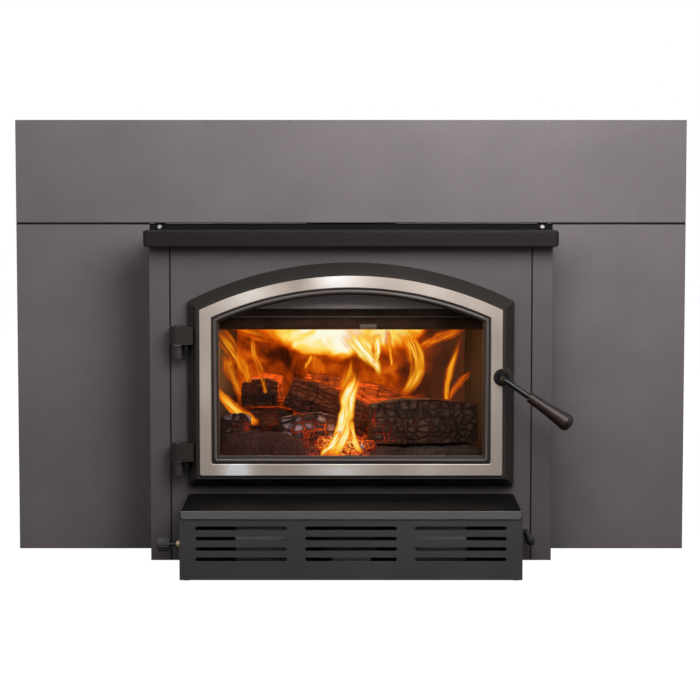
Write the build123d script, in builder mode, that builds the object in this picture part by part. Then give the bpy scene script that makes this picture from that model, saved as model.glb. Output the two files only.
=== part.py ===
"""Wood-burning fireplace insert: arched door, steel surround and fan housing.

Millimetres. +X is to the right seen from the room, +Y goes back into the
fireplace and +Z is up. The origin is on the hearth, in the middle, at the
wall's face. Distances called "front" are measured from the wall's face
towards the room, which is along -Y.
"""

import os
from math import atan, atan2, cos, degrees, radians, sin, sqrt

from build123d import *

os.makedirs("parts", exist_ok=True)

# ---------------------------------------------------------------- sizes
seat_gap = 0.3  # between pieces of different bodies that rest on each other
fit_gap = 0.1  # between pieces of one body that slide together

# Surround: three folded steel panels.
surround_width = 1118.0
top_panel_height = 172.0
panel_thickness = 1.5
panel_depth = 25.0
panel_bend = 1.2
panel_joint_gap = 0.3
body_side_gap = 9.5
warm_air_gap = 8.0
surround_bolt_count = 2
surround_bolt_radius = 3.0
surround_bolt_head_radius = 5.5
surround_bolt_head_height = 3.5

# Stove body and its convection jacket.
face_margin = 29.0
pilaster_width = 33.5
body_projection = 98.0
rear_air_space = 50.0
rear_air_depth = 75.0
jacket_thickness = 1.5
jacket_rear_fold = 20.0
rear_sheet_trim = 1.0
base_thickness = 3.0
face_thickness = 6.0
door_ledge_gap = 26.0
ledge_end_overhang = 7.0
ledge_overhang = 30.0
ledge_depth = 45.0
ledge_lip_height = 26.0
ledge_lip_thickness = 12.0
ledge_top_thickness = 8.0
ledge_nose_radius = 5.0
ledge_chamfer = 1.5
ledge_corner_chamfer = 4.0
jacket_flange_setback = 4.0
hanger_inset = 7.5
hanger_width = 16.0
hanger_leg = 14.0
hanger_screw_rise = 10.0
hanger_screw_radius = 2.4
hanger_screw_head = 4.4

# Firebox: welded plates lined with brick.
firebox_plate = 5.0
latch_side_room = 23.0
firebox_rear_width = 420.0
firebox_rear_depth = 330.0
firebox_door_drop = 7.0
top_air_space = 30.0
brick_thickness = 32.0
brick_gap = 1.0
latch_reserve = 20.0
side_brick_height = 245.0
side_brick_count = 4
back_brick_count = 3
floor_brick_columns = 4
floor_brick_rows = 4

# Air tubes, their side channels and the baffle over them.
channel_width = 30.0
channel_height = 28.0
channel_wall = 1.5
tube_count = 3
tube_radius = 10.6
tube_wall = 2.0
tube_spacing = 95.0
front_tube_setback = 57.0
baffle_thickness = 25.0
deflector_thickness = 2.0
deflector_drop = 61.0
deflector_shelf = 20.0
deflector_lip = 25.0
deflector_setback = 12.0

# Flue collar.
flue_radius = 77.0
flue_wall = 4.0
flue_height = 72.0
flue_stop = 3.0
flue_flange_width = 16.0
flue_flange_thickness = 6.0
flue_setback = 215.0
flue_bolt_radius = 3.0
flue_bolt_count = 4
jacket_flue_gap = 6.0

# Door: an arch with straight sides, then outlines set in from it.
door_width = 530.0
door_bottom = 124.0
door_corner_height = 426.0
door_apex_height = 489.0
door_face_gap = 1.5
door_depth = 28.5
door_rim_depth = 6.0
door_bevel = 15.0
door_corner_radius = 6.0
window_inset = 51.5
window_chamfer = 3.0
window_corner_radius = 3.0
trim_reveal = 12.0
trim_width = 19.2
trim_thickness = 3.0
trim_edge_chamfer = 1.0
glass_overlap = 4.0
glass_thickness = 5.0
glass_side_gap = 1.0
glass_seat_thickness = 8.0
glass_tape_thickness = 2.5
rope_radius = 4.0
rope_sides = 8
rope_wall = 1.9
rope_landing = 4.0
clip_ledge = 5.5
side_clip_count = 2
row_clip_count = 3
clip_width = 22.0
clip_thickness = 3.0
clip_screw_radius = 1.5
clip_screw_head = 2.1

# Hinges at the door's left side.
hinge_setback = 15.0
hinge_front = 16.0
hinge_lug_radius = 13.5
hinge_lug_height = 28.5
hinge_web_gap = 1.0
lower_hinge_rise = 43.0
upper_hinge_drop = 69.0
hinge_foot_thickness = 3.0
barrel_radius = 8.5
barrel_length = 22.6
hinge_pin_radius = 4.75
hinge_running_gap = 0.08
hinge_washer_thickness = 1.0
pin_head_radius = 6.2

# Handle and latch.
handle_setback = 21.0
handle_rise = 180.0
handle_pad_radius = 18.8
handle_notch_radius = 13.7
handle_washer_radius = 12.0
handle_washer_thickness = 4.0
handle_rod_radius = 4.7
handle_running_gap = 0.07
handle_rod_end = 2.0
handle_reach = 22.0
handle_bend_radius = 12.0
handle_droop = 33.8
handle_lean = 13.0
grip_start = 51.0
grip_length = 80.0
grip_neck_radius = 8.5
grip_end_radius = 14.0
grip_end_rounding = 8.5
grip_end_step = 2.5
grip_neck_chamfer = 1.0
latch_hub_radius = 8.0
latch_length = 28.0
latch_thickness = 8.0
latch_half_width = 6.0
latch_face_gap = 0.7
latch_slot_gap = 1.5
latch_nut_radius = 8.0
latch_nut_thickness = 6.0

# Blower.
blower_side_inset = 26.5
blower_depth = 160.0
blower_door_gap = 14.3
blower_sheet = 1.5
blower_lift = 1.0
blower_cover_fold = 12.0
blower_base_height = 4.0
lid_side_inset = 2.5
lid_lip_height = 12.5
lid_lip_corner = 5.0
slot_length = 143.0
slot_height = 6.0
slot_column_pitch = 171.0
slot_row_pitch = 16.3
slot_columns = 3
slot_rows = 4
slot_field_drop = 51.5
foot_radius = 8.0
foot_inset = 0.5
fan_axis_setback = 78.0
motor_radius = 40.0
motor_length = 92.0
motor_chamfer = 8.0
motor_boss_length = 6.0
motor_shaft_radius = 4.0
shaft_running_gap = 0.08
scroll_spacing = 140.0
scroll_width = 84.0
scroll_wall = 1.2
scroll_floor_gap = 2.5
scroll_roof_gap = 4.2
scroll_growth = 11.0
scroll_tongue_angle = -15.0
scroll_inlet_step = 1.0
impeller_tip_gap = 4.0
impeller_side_gap = 5.0
impeller_ring_width = 6.0
impeller_sheet = 1.6
blade_count = 20
blade_thickness = 1.4
blade_curve_radius = 9.6
impeller_hub_radius = 8.0
impeller_hub_length = 22.0

# Fan speed knob on the blower's left side.
knob_setback = 38.0
knob_height = 50.0
knob_radius = 11.0
knob_length = 20.0
knob_shaft_radius = 3.0
knob_shaft_length = 18.0
knob_running_gap = 0.06
knob_bushing_wall = 1.8
knob_shaft_end_gap = 5.0
knob_chamfer = 3.0
knob_flutes = 12
knob_flute_radius = 1.3
collar_radius = 8.5
collar_wall = 1.5
collar_length = 7.5
control_body_size = 26.0
control_corner_radius = 3.0
cord_height = 20.0
cord_gland_radius = 7.0
cord_gland_step = 1.5
cord_gland_chamfer = 1.7
cord_bore_radius = 3.6

# Combustion air control at the blower's right side.
air_rod_inset = 9.0
air_rod_height = 50.5
air_rod_radius = 3.5
air_rod_front = 25.0
air_rod_running_gap = 0.07
air_travel = 50.0
air_handle_length = 24.0
air_handle_radius = 7.5
air_handle_tilt = 65.0
valve_plate_width = 56.0
valve_plate_length = 62.0
valve_plate_thickness = 2.0
valve_plate_corner = 3.0
valve_front_gap = 2.0
valve_weld_depth = 1.0
pull_wall = 1.5
pull_end_radius = 1.5
valve_port_length = 40.0
valve_port_width = 40.0
intake_wall = 2.0

# Fuel on the hearth bricks.
ember_bed_height = 26.0
ember_bed_slope = 32.0
ember_bed_margin = 12.0
log_taper = ((0.0, 0.88), (0.3, 1.0), (0.7, 0.97), (1.0, 0.84))
front_log_length = 185.0
front_log_width = 58.0
front_log_height = 78.0
front_log_turn = 6.0
front_log_foot = 28.0
chunk_width = 48.0
chunk_height = 54.0
front_chunk_start = 22.0
front_chunk_length = 97.0
side_chunk_start = 96.0
side_chunk_length = 94.0
corner_chunk_start = 165.0
corner_chunk_length = 54.0
back_chunk_start = 88.0
back_chunk_length = 82.0
upper_chunk_step = 28.0
upper_chunk_length = 64.0
upper_chunk_height = 50.0
middle_log_length = 150.0
middle_log_width = 58.0
middle_log_height = 62.0
middle_log_foot = 20.0
back_log_length = 205.0
back_log_width = 64.0
back_log_height = 68.0
back_log_foot = 105.0
front_row_setback = -38.0
middle_row_setback = 28.0
back_row_setback = 112.0

# ---------------------------------------------------------------- levels
door_half = door_width / 2
face_half = door_half + face_margin
body_half = face_half + pilaster_width
opening_half = body_half + body_side_gap
surround_half = surround_width / 2
hanger_offset = body_half - hanger_inset

surround_front = panel_depth
face_front = surround_front + body_projection
face_back = face_front - face_thickness
ledge_front = face_front + ledge_overhang

ledge_bottom = door_apex_height + door_ledge_gap
ledge_height = ledge_bottom + ledge_lip_height
ledge_underside = ledge_height - ledge_top_thickness
jacket_top_height = ledge_underside
hanger_screw_height = jacket_top_height + hanger_screw_rise
top_panel_bottom = ledge_height + warm_air_gap
side_panel_top = top_panel_bottom - panel_joint_gap
surround_height = top_panel_bottom + top_panel_height

firebox_front_width = door_width + 2 * latch_side_room
firebox_bottom = door_bottom - firebox_door_drop
firebox_top = ledge_underside - top_air_space
firebox_floor_top = firebox_bottom + firebox_plate
firebox_length = face_back + firebox_rear_depth
firebox_taper = atan((firebox_front_width - firebox_rear_width) / 2 / firebox_length)
plate_step = firebox_plate / cos(firebox_taper)
brick_step = brick_thickness / cos(firebox_taper)
hearth_height = firebox_floor_top + brick_thickness

door_back = face_front + door_face_gap
door_front = door_back + door_depth
door_rise = door_apex_height - door_corner_height
door_arch_radius = (door_half**2 + door_rise**2) / (2 * door_rise)
door_arch_centre = door_apex_height - door_arch_radius
handle_height = door_bottom + handle_rise

trim_inner_inset = window_inset - trim_reveal
trim_outer_inset = trim_inner_inset - trim_width
glass_inset = window_inset - glass_overlap
pocket_inset = glass_inset - glass_side_gap
clip_step_inset = glass_inset - clip_ledge
groove_half = rope_radius + fit_gap
rope_inset = clip_step_inset - rope_wall - groove_half
face_opening_inset = rope_inset + rope_radius + rope_landing

blower_front = face_front + blower_depth
blower_half = face_half - blower_side_inset
lid_width = 2 * (blower_half - lid_side_inset)
blower_height = door_bottom - blower_door_gap
cover_top = blower_height - blower_sheet
base_top = blower_base_height + blower_sheet
slot_field_height = blower_height - slot_field_drop
scroll_room = cover_top - base_top - scroll_floor_gap - scroll_roof_gap
scroll_end_radius = scroll_room / 2
scroll_start_radius = scroll_end_radius - scroll_growth
fan_axis_height = base_top + scroll_floor_gap + scroll_end_radius
impeller_radius = scroll_start_radius - impeller_tip_gap
impeller_width = scroll_width - 2 * impeller_side_gap
scroll_inlet_radius = impeller_radius - impeller_ring_width - scroll_inlet_step
air_rod_offset = face_half - air_rod_inset


def front_plane(distance):
    """Upright plane facing the room, this far in front of the wall."""
    return Plane.XZ.offset(distance)


def firebox_half_at(front):
    """Half of the firebox's outer width at this distance from the wall."""
    return firebox_front_width / 2 - (face_back - front) * (
        (firebox_front_width - firebox_rear_width) / 2 / firebox_length
    )


def arch_face(inset, corner_radius=0, mode=Mode.ADD):
    """Door outline set in by this much on all sides, in the current sketch."""
    half = door_half - inset
    bottom = door_bottom + inset
    radius = door_arch_radius - inset
    corner = door_arch_centre + sqrt(radius**2 - half**2)
    apex = door_arch_centre + radius
    with BuildLine() as outline:
        Polyline((-half, corner), (-half, bottom), (half, bottom), (half, corner))
        ThreePointArc((-half, corner), (0, apex), (half, corner))
        if corner_radius:
            fillet(outline.vertices(), corner_radius)
    make_face(outline.edges(), mode=mode)


# ---------------------------------------------------------------- surround
surround_bolt_pitch = (surround_half - opening_half) / surround_bolt_count
surround_bolt_spots = [
    (side * (opening_half + surround_bolt_pitch * (index + 0.5)), -panel_depth / 2)
    for side in (-1, 1)
    for index in range(surround_bolt_count)
]


def folded_panel(left, right, bottom, top):
    """Front sheet with its four edges folded back to the wall."""
    with BuildPart() as panel:
        with BuildSketch(Plane.XZ):
            with Locations(((left + right) / 2, (bottom + top) / 2)):
                Rectangle(right - left, top - bottom)
        extrude(amount=panel_depth)
        back = panel.faces().sort_by(Axis.Y)[-1]
        offset(amount=-panel_thickness, openings=back)
        front = panel.faces().sort_by(Axis.Y)[0]
        fillet(front.outer_wire().edges(), panel_bend)
        joint = side_panel_top - 2 * panel_thickness
        with BuildSketch(Plane.XY.offset(joint)):
            with Locations(surround_bolt_spots):
                Circle(surround_bolt_radius + fit_gap)
        extrude(amount=4 * panel_thickness + panel_joint_gap, mode=Mode.SUBTRACT)
    return panel


surround_top_panel = folded_panel(
    -surround_half, surround_half, top_panel_bottom, surround_height
)
surround_top_panel.part.label = "surround_top_panel"
export_step(surround_top_panel.part, "parts/surround_top_panel.step")

surround_left_panel = folded_panel(-surround_half, -opening_half, 0, side_panel_top)
surround_left_panel.part.label = "surround_left_panel"
export_step(surround_left_panel.part, "parts/surround_left_panel.step")

surround_right_panel = folded_panel(opening_half, surround_half, 0, side_panel_top)
surround_right_panel.part.label = "surround_right_panel"
export_step(surround_right_panel.part, "parts/surround_right_panel.step")

# Bolts that join the side panels' top folds to the top panel's bottom fold.
joint_low = side_panel_top - panel_thickness
joint_high = top_panel_bottom + panel_thickness
with BuildPart() as surround_bolts:
    for start in (joint_low - surround_bolt_head_height, joint_high):
        with BuildSketch(Plane.XY.offset(start)):
            with Locations(surround_bolt_spots):
                RegularPolygon(surround_bolt_head_radius, 6)
        extrude(amount=surround_bolt_head_height)
    with BuildSketch(Plane.XY.offset(joint_low)):
        with Locations(surround_bolt_spots):
            Circle(surround_bolt_radius)
    extrude(amount=joint_high - joint_low)
surround_bolts.part.label = "surround_bolts"
export_step(surround_bolts.part, "parts/surround_bolts.step")

# ---------------------------------------------------------------- jacket
rear_half = firebox_rear_width / 2 + rear_air_space
rear_depth = firebox_rear_depth + rear_air_depth
rear_sheet_front = jacket_thickness - rear_depth
flange_front = surround_front - jacket_flange_setback
flange_half = opening_half - seat_gap
hanger_screw_spots = [
    (side * hanger_offset, hanger_screw_height) for side in (-1, 1)
]


def body_outline(inset):
    """Plan of the body: square in front of the wall, tapering behind it."""
    with BuildLine() as outline:
        Polyline(
            (-body_half, -face_front),
            (body_half, -face_front),
            (body_half, 0),
            (rear_half, rear_depth),
            (-rear_half, rear_depth),
            (-body_half, 0),
            close=True,
        )
    make_face(outline.edges())
    if inset:
        offset(amount=-inset, kind=Kind.INTERSECTION, mode=Mode.REPLACE)


# Side of the jacket: one sheet, folded in at the front to make the strip
# beside the door and at the back to carry the rear sheet.
with BuildPart() as jacket_right_side:
    with BuildSketch():
        with BuildLine():
            fold_line = Polyline(
                (face_half + fit_gap, -face_front),
                (body_half, -face_front),
                (body_half, 0),
                (rear_half, rear_depth),
                (rear_half - jacket_rear_fold, rear_depth),
            )
            offset(fold_line, amount=jacket_thickness, side=Side.LEFT)
        make_face()
    extrude(amount=jacket_top_height)
jacket_right_side.part.label = "jacket_right_side"
export_step(jacket_right_side.part, "parts/jacket_right_side.step")

with BuildPart() as jacket_left_side:
    add(jacket_right_side.part.mirror(Plane.YZ))
jacket_left_side.part.label = "jacket_left_side"
export_step(jacket_left_side.part, "parts/jacket_left_side.step")

with BuildPart() as jacket_back:
    with BuildSketch(front_plane(rear_sheet_front)):
        with Locations((0, jacket_top_height / 2)):
            Rectangle(
                2 * (rear_half - jacket_rear_fold - seat_gap), jacket_top_height
            )
    extrude(amount=-jacket_thickness)
    with BuildSketch(front_plane(rear_sheet_front)):
        with Locations((0, jacket_top_height / 2)):
            Rectangle(
                2 * rear_half - 4 * jacket_thickness,
                jacket_top_height - 2 * rear_sheet_trim,
            )
    extrude(amount=jacket_thickness)
jacket_back.part.label = "jacket_back"
export_step(jacket_back.part, "parts/jacket_back.step")

valve_front = face_back - air_travel - valve_front_gap
valve_back = valve_front - valve_plate_length
port_middle = (valve_front + valve_back) / 2
with BuildPart() as base_pan:
    with BuildSketch():
        body_outline(jacket_thickness)
        with Locations((0, -face_front)):
            Rectangle(4 * body_half, 2 * face_thickness, mode=Mode.SUBTRACT)
        with Locations((0, rear_depth)):
            Rectangle(4 * body_half, 4 * jacket_thickness, mode=Mode.SUBTRACT)
    extrude(amount=base_thickness)
    with BuildSketch():
        with Locations((air_rod_offset, -port_middle)):
            Rectangle(valve_port_width, valve_port_length)
    extrude(amount=base_thickness, mode=Mode.SUBTRACT)
base_pan.part.label = "base_pan"
export_step(base_pan.part, "parts/base_pan.step")

with BuildPart() as jacket_top:
    with BuildSketch(Plane.XY.offset(jacket_top_height)):
        body_outline(0)
        with Locations((0, -flange_front - face_front)):
            Rectangle(4 * body_half, 2 * face_front, mode=Mode.SUBTRACT)
        with Locations((0, flue_setback)):
            Circle(flue_radius + flue_wall + jacket_flue_gap, mode=Mode.SUBTRACT)
    extrude(amount=jacket_thickness)
    with BuildSketch(front_plane(flange_front)):
        with Locations((0, (jacket_top_height + side_panel_top) / 2)):
            Rectangle(2 * flange_half, side_panel_top - jacket_top_height)
    extrude(amount=-jacket_thickness)
    with BuildSketch(front_plane(flange_front)):
        with Locations(*hanger_screw_spots):
            Circle(hanger_screw_radius + fit_gap)
    extrude(amount=-jacket_thickness, mode=Mode.SUBTRACT)
jacket_top.part.label = "jacket_top"
export_step(jacket_top.part, "parts/jacket_top.step")

# Angle brackets that hang the top panel on the jacket's front flange.
hanger_back = flange_front - jacket_thickness
hanger_top = top_panel_bottom - fit_gap
hanger_low = jacket_top_height + jacket_thickness + fit_gap
with BuildPart() as surround_hangers:
    with BuildSketch(Plane.YZ.offset(hanger_offset - hanger_width / 2)):
        with BuildLine():
            Polyline(
                (-hanger_back, hanger_low),
                (-hanger_back, hanger_top),
                (-hanger_back + hanger_leg, hanger_top),
                (-hanger_back + hanger_leg, hanger_top - jacket_thickness),
                (-hanger_back + jacket_thickness, hanger_top - jacket_thickness),
                (-hanger_back + jacket_thickness, hanger_low),
                close=True,
            )
        make_face()
    extrude(amount=hanger_width)
    mirror(about=Plane.YZ)
    with BuildSketch(front_plane(hanger_back)):
        with Locations(*hanger_screw_spots):
            Circle(hanger_screw_radius + fit_gap)
    extrude(amount=-jacket_thickness, mode=Mode.SUBTRACT)
surround_hangers.part.label = "surround_hangers"
export_step(surround_hangers.part, "parts/surround_hangers.step")

with BuildPart() as surround_screws:
    with BuildSketch(front_plane(flange_front)):
        with Locations(*hanger_screw_spots):
            Circle(hanger_screw_head)
    extrude(amount=hanger_screw_head / 2)
    chamfer(
        surround_screws.faces().sort_by(Axis.Y)[0:2].edges(), hanger_screw_head / 3
    )
    with BuildSketch(front_plane(flange_front)):
        with Locations(*hanger_screw_spots):
            Circle(hanger_screw_radius)
    extrude(amount=-3 * jacket_thickness)
surround_screws.part.label = "surround_screws"
export_step(surround_screws.part, "parts/surround_screws.step")

# ---------------------------------------------------------------- front
ledge_back = ledge_front - ledge_depth
with BuildPart() as ledge:
    with BuildSketch(Plane.XY.offset(ledge_bottom)):
        with Locations((0, -(ledge_front + ledge_back) / 2)):
            Rectangle(2 * (body_half + ledge_end_overhang), ledge_depth)
    extrude(amount=ledge_lip_height)
    chamfer(
        ledge.faces().sort_by(Axis.Z)[0].edges().filter_by(Axis.Y),
        ledge_corner_chamfer,
    )
    front = ledge.faces().sort_by(Axis.Y)[0]
    fillet(front.edges().filter_by(Axis.Z), ledge_nose_radius)
    top = ledge.faces().sort_by(Axis.Z)[-1]
    fillet(top.edges() - top.edges().sort_by(Axis.Y)[-1:], ledge_nose_radius / 2)
    chamfer(ledge.faces().sort_by(Axis.Z)[0].edges().sort_by(Axis.Y)[0], ledge_chamfer)
    with BuildSketch(Plane.XY.offset(ledge_bottom)):
        with Locations((0, -(ledge_front - ledge_lip_thickness + ledge_back) / 2)):
            Rectangle(2 * (body_half + seat_gap), ledge_depth - ledge_lip_thickness)
    extrude(amount=ledge_underside - ledge_bottom, mode=Mode.SUBTRACT)
ledge.part.label = "ledge"
export_step(ledge.part, "parts/ledge.step")

handle_offset = door_half - handle_setback
handle_spot = (handle_offset, handle_height)
latch_slot_radius = latch_hub_radius + latch_slot_gap
fan_axis_front = face_front + fan_axis_setback
duct_low = fan_axis_height - scroll_end_radius
duct_high = fan_axis_height + scroll_start_radius * sin(radians(scroll_tongue_angle))
port_height = duct_high - duct_low - 2 * scroll_wall
port_width = scroll_width - 2 * scroll_wall
with BuildPart() as face_plate:
    with BuildSketch(front_plane(face_back)):
        with Locations((0, ledge_underside / 2)):
            Rectangle(2 * face_half, ledge_underside)
        arch_face(face_opening_inset, mode=Mode.SUBTRACT)
        with Locations(handle_spot):
            Circle(latch_slot_radius, mode=Mode.SUBTRACT)
        with Locations((handle_offset, handle_height + latch_length / 2)):
            Rectangle(
                2 * (latch_half_width + latch_slot_gap),
                latch_length + latch_slot_gap,
                mode=Mode.SUBTRACT,
            )
        with Locations((0, (duct_low + duct_high) / 2)):
            with GridLocations(2 * scroll_spacing, 1, 2, 1):
                Rectangle(port_width, port_height, mode=Mode.SUBTRACT)
        with Locations((air_rod_offset, air_rod_height)):
            Circle(air_rod_radius + air_rod_running_gap, mode=Mode.SUBTRACT)
    extrude(amount=face_thickness)
face_plate.part.label = "face_plate"
export_step(face_plate.part, "parts/face_plate.step")

# ---------------------------------------------------------------- firebox


def wall_lane(outer_step, inner_step, front, back):
    """Strip along the right wall, between two steps in from its outer face."""
    with BuildLine() as outline:
        Polyline(
            (firebox_half_at(front) - outer_step, -front),
            (firebox_half_at(back) - outer_step, -back),
            (firebox_half_at(back) - inner_step, -back),
            (firebox_half_at(front) - inner_step, -front),
            close=True,
        )
    make_face(outline.edges())


def firebox_plan(step, front, back, mode=Mode.ADD):
    """Plan of the firebox between its side walls, set in by this step."""
    with BuildLine() as outline:
        Polyline(
            (-firebox_half_at(front) + step, -front),
            (firebox_half_at(front) - step, -front),
            (firebox_half_at(back) - step, -back),
            (-firebox_half_at(back) + step, -back),
            close=True,
        )
    make_face(outline.edges(), mode=mode)


firebox_back = -firebox_rear_depth
wall_height = firebox_top - firebox_bottom - 2 * firebox_plate
flue_hole_radius = flue_radius - flue_stop
flue_bolt_circle = flue_radius + flue_wall + flue_flange_width / 2

with BuildPart() as firebox_floor:
    with BuildSketch(Plane.XY.offset(firebox_bottom)):
        firebox_plan(0, face_back, firebox_back)
    extrude(amount=firebox_plate)
firebox_floor.part.label = "firebox_floor"
export_step(firebox_floor.part, "parts/firebox_floor.step")

with BuildPart() as firebox_right_wall:
    with BuildSketch(Plane.XY.offset(firebox_floor_top)):
        wall_lane(0, plate_step, face_back, firebox_back)
    extrude(amount=wall_height)
firebox_right_wall.part.label = "firebox_right_wall"
export_step(firebox_right_wall.part, "parts/firebox_right_wall.step")

with BuildPart() as firebox_left_wall:
    add(firebox_right_wall.part.mirror(Plane.YZ))
firebox_left_wall.part.label = "firebox_left_wall"
export_step(firebox_left_wall.part, "parts/firebox_left_wall.step")

with BuildPart() as firebox_back_wall:
    with BuildSketch(Plane.XY.offset(firebox_floor_top)):
        firebox_plan(plate_step, firebox_back + firebox_plate, firebox_back)
    extrude(amount=wall_height)
firebox_back_wall.part.label = "firebox_back_wall"
export_step(firebox_back_wall.part, "parts/firebox_back_wall.step")

with BuildPart() as firebox_top_plate:
    with BuildSketch(Plane.XY.offset(firebox_top - firebox_plate)):
        firebox_plan(0, face_back, firebox_back)
        with Locations((0, flue_setback)):
            Circle(flue_hole_radius, mode=Mode.SUBTRACT)
            with PolarLocations(flue_bolt_circle, flue_bolt_count, 45):
                Circle(flue_bolt_radius + fit_gap, mode=Mode.SUBTRACT)
    extrude(amount=firebox_plate)
firebox_top_plate.part.label = "firebox_top_plate"
export_step(firebox_top_plate.part, "parts/firebox_top_plate.step")

# Cast collar: a turned ring with a stop for the flue pipe and a flange.
with BuildPart() as flue_collar:
    with BuildSketch(Plane.XZ.offset(-flue_setback)):
        with BuildLine():
            Polyline(
                (flue_hole_radius, firebox_top),
                (flue_radius + flue_wall + flue_flange_width, firebox_top),
                (
                    flue_radius + flue_wall + flue_flange_width,
                    firebox_top + flue_flange_thickness,
                ),
                (flue_radius + flue_wall, firebox_top + flue_flange_thickness),
                (flue_radius + flue_wall, firebox_top + flue_height),
                (flue_radius, firebox_top + flue_height),
                (flue_radius, firebox_top + flue_stop),
                (flue_hole_radius, firebox_top + flue_stop),
                close=True,
            )
        make_face()
    revolve(axis=Axis((0, flue_setback, 0), (0, 0, 1)))
    with BuildSketch(Plane.XY.offset(firebox_top)):
        with Locations((0, flue_setback)):
            with PolarLocations(flue_bolt_circle, flue_bolt_count, 45):
                Circle(flue_bolt_radius + fit_gap)
    extrude(amount=flue_flange_thickness, mode=Mode.SUBTRACT)
flue_collar.part.label = "flue_collar"
export_step(flue_collar.part, "parts/flue_collar.step")

with BuildPart() as flue_collar_bolts:
    with BuildSketch(Plane.XY.offset(firebox_top + flue_flange_thickness)):
        with Locations((0, flue_setback)):
            with PolarLocations(flue_bolt_circle, flue_bolt_count, 45):
                RegularPolygon(1.8 * flue_bolt_radius, 6)
    extrude(amount=flue_bolt_radius * 4 / 3)
    with BuildSketch(Plane.XY.offset(firebox_top + flue_flange_thickness)):
        with Locations((0, flue_setback)):
            with PolarLocations(flue_bolt_circle, flue_bolt_count, 45):
                Circle(flue_bolt_radius)
    extrude(amount=-flue_flange_thickness - firebox_plate)
flue_collar_bolts.part.label = "flue_collar_bolts"
export_step(flue_collar_bolts.part, "parts/flue_collar_bolts.step")

# ---------------------------------------------------------------- bricks
brick_front = face_back - latch_reserve
brick_rear = firebox_back + firebox_plate + brick_gap
side_step = plate_step + brick_gap
lined_step = side_step + brick_step
back_brick_face = brick_rear + brick_thickness
side_brick_pitch = (brick_front - brick_rear + brick_gap) / side_brick_count

with BuildPart() as side_bricks:
    for index in range(side_brick_count):
        front_edge = brick_front - index * side_brick_pitch
        with BuildSketch(Plane.XY.offset(firebox_floor_top)):
            wall_lane(
                side_step,
                lined_step,
                front_edge,
                front_edge - side_brick_pitch + brick_gap,
            )
        extrude(amount=side_brick_height)
    mirror(about=Plane.YZ)
side_bricks.part.label = "side_bricks"
export_step(side_bricks.part, "parts/side_bricks.step")

back_brick_half = firebox_half_at(brick_rear) - lined_step - brick_gap
back_brick_pitch = (2 * back_brick_half + brick_gap) / back_brick_count
with BuildPart() as back_bricks:
    with BuildSketch(Plane.XY.offset(firebox_floor_top)):
        with Locations((0, -brick_rear - brick_thickness / 2)):
            with GridLocations(back_brick_pitch, 1, back_brick_count, 1):
                Rectangle(back_brick_pitch - brick_gap, brick_thickness)
    extrude(amount=side_brick_height)
back_bricks.part.label = "back_bricks"
export_step(back_bricks.part, "parts/back_bricks.step")

floor_half = firebox_half_at(brick_front) - lined_step - brick_gap
floor_length = brick_front - back_brick_face - brick_gap
floor_pitch_x = 2 * floor_half / floor_brick_columns
floor_pitch_y = floor_length / floor_brick_rows
with BuildPart() as floor_bricks:
    with BuildSketch(Plane.XY.offset(firebox_floor_top)):
        with Locations((0, -brick_front + floor_length / 2)):
            with GridLocations(
                floor_pitch_x, floor_pitch_y, floor_brick_columns, floor_brick_rows
            ):
                Rectangle(floor_pitch_x - brick_gap, floor_pitch_y - brick_gap)
        firebox_plan(
            lined_step + brick_gap,
            brick_front,
            brick_front - floor_length,
            mode=Mode.INTERSECT,
        )
    extrude(amount=brick_thickness)
floor_bricks.part.label = "floor_bricks"
export_step(floor_bricks.part, "parts/floor_bricks.step")

# ---------------------------------------------------------------- air tubes
channel_bottom = firebox_floor_top + side_brick_height
channel_top = channel_bottom + channel_height
tube_height = channel_top - tube_radius
tube_fronts = [
    face_back - front_tube_setback - index * tube_spacing for index in range(tube_count)
]
channel_outer = plate_step + fit_gap
channel_inner = plate_step + channel_width

with BuildPart() as air_channels:
    with BuildSketch(Plane.XY.offset(channel_bottom)):
        wall_lane(channel_outer, channel_inner, brick_front, brick_rear)
    extrude(amount=channel_height)
    with BuildSketch(Plane.XY.offset(channel_bottom + channel_wall)):
        wall_lane(
            channel_outer + channel_wall,
            channel_inner - channel_wall,
            brick_front - channel_wall,
            brick_rear + channel_wall,
        )
    extrude(amount=channel_height - 2 * channel_wall, mode=Mode.SUBTRACT)
    for front in tube_fronts:
        with BuildSketch(Plane.YZ):
            with Locations((-front, tube_height)):
                Circle(tube_radius - fit_gap)
        extrude(
            amount=firebox_half_at(front) - plate_step - channel_width / 2,
            mode=Mode.SUBTRACT,
        )
    mirror(about=Plane.YZ)
air_channels.part.label = "air_channels"
export_step(air_channels.part, "parts/air_channels.step")

# Each tube runs between the channels' inner walls, over their air holes.
with BuildPart() as air_tubes:
    for front in tube_fronts:
        reach = firebox_half_at(front - tube_radius) - channel_inner - fit_gap
        with BuildSketch(Plane.YZ.offset(-reach)):
            with Locations((-front, tube_height)):
                Circle(tube_radius)
                Circle(tube_radius - tube_wall, mode=Mode.SUBTRACT)
        extrude(amount=2 * reach)
air_tubes.part.label = "air_tubes"
export_step(air_tubes.part, "parts/air_tubes.step")

baffle_front = tube_fronts[0] + tube_radius
with BuildPart() as baffle_boards:
    with BuildSketch(Plane.XY.offset(channel_top)):
        firebox_plan(plate_step + brick_gap, baffle_front, brick_rear)
        Rectangle(brick_gap, 4 * firebox_length, mode=Mode.SUBTRACT)
    extrude(amount=baffle_thickness)
baffle_boards.part.label = "baffle_boards"
export_step(baffle_boards.part, "parts/baffle_boards.step")

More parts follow.
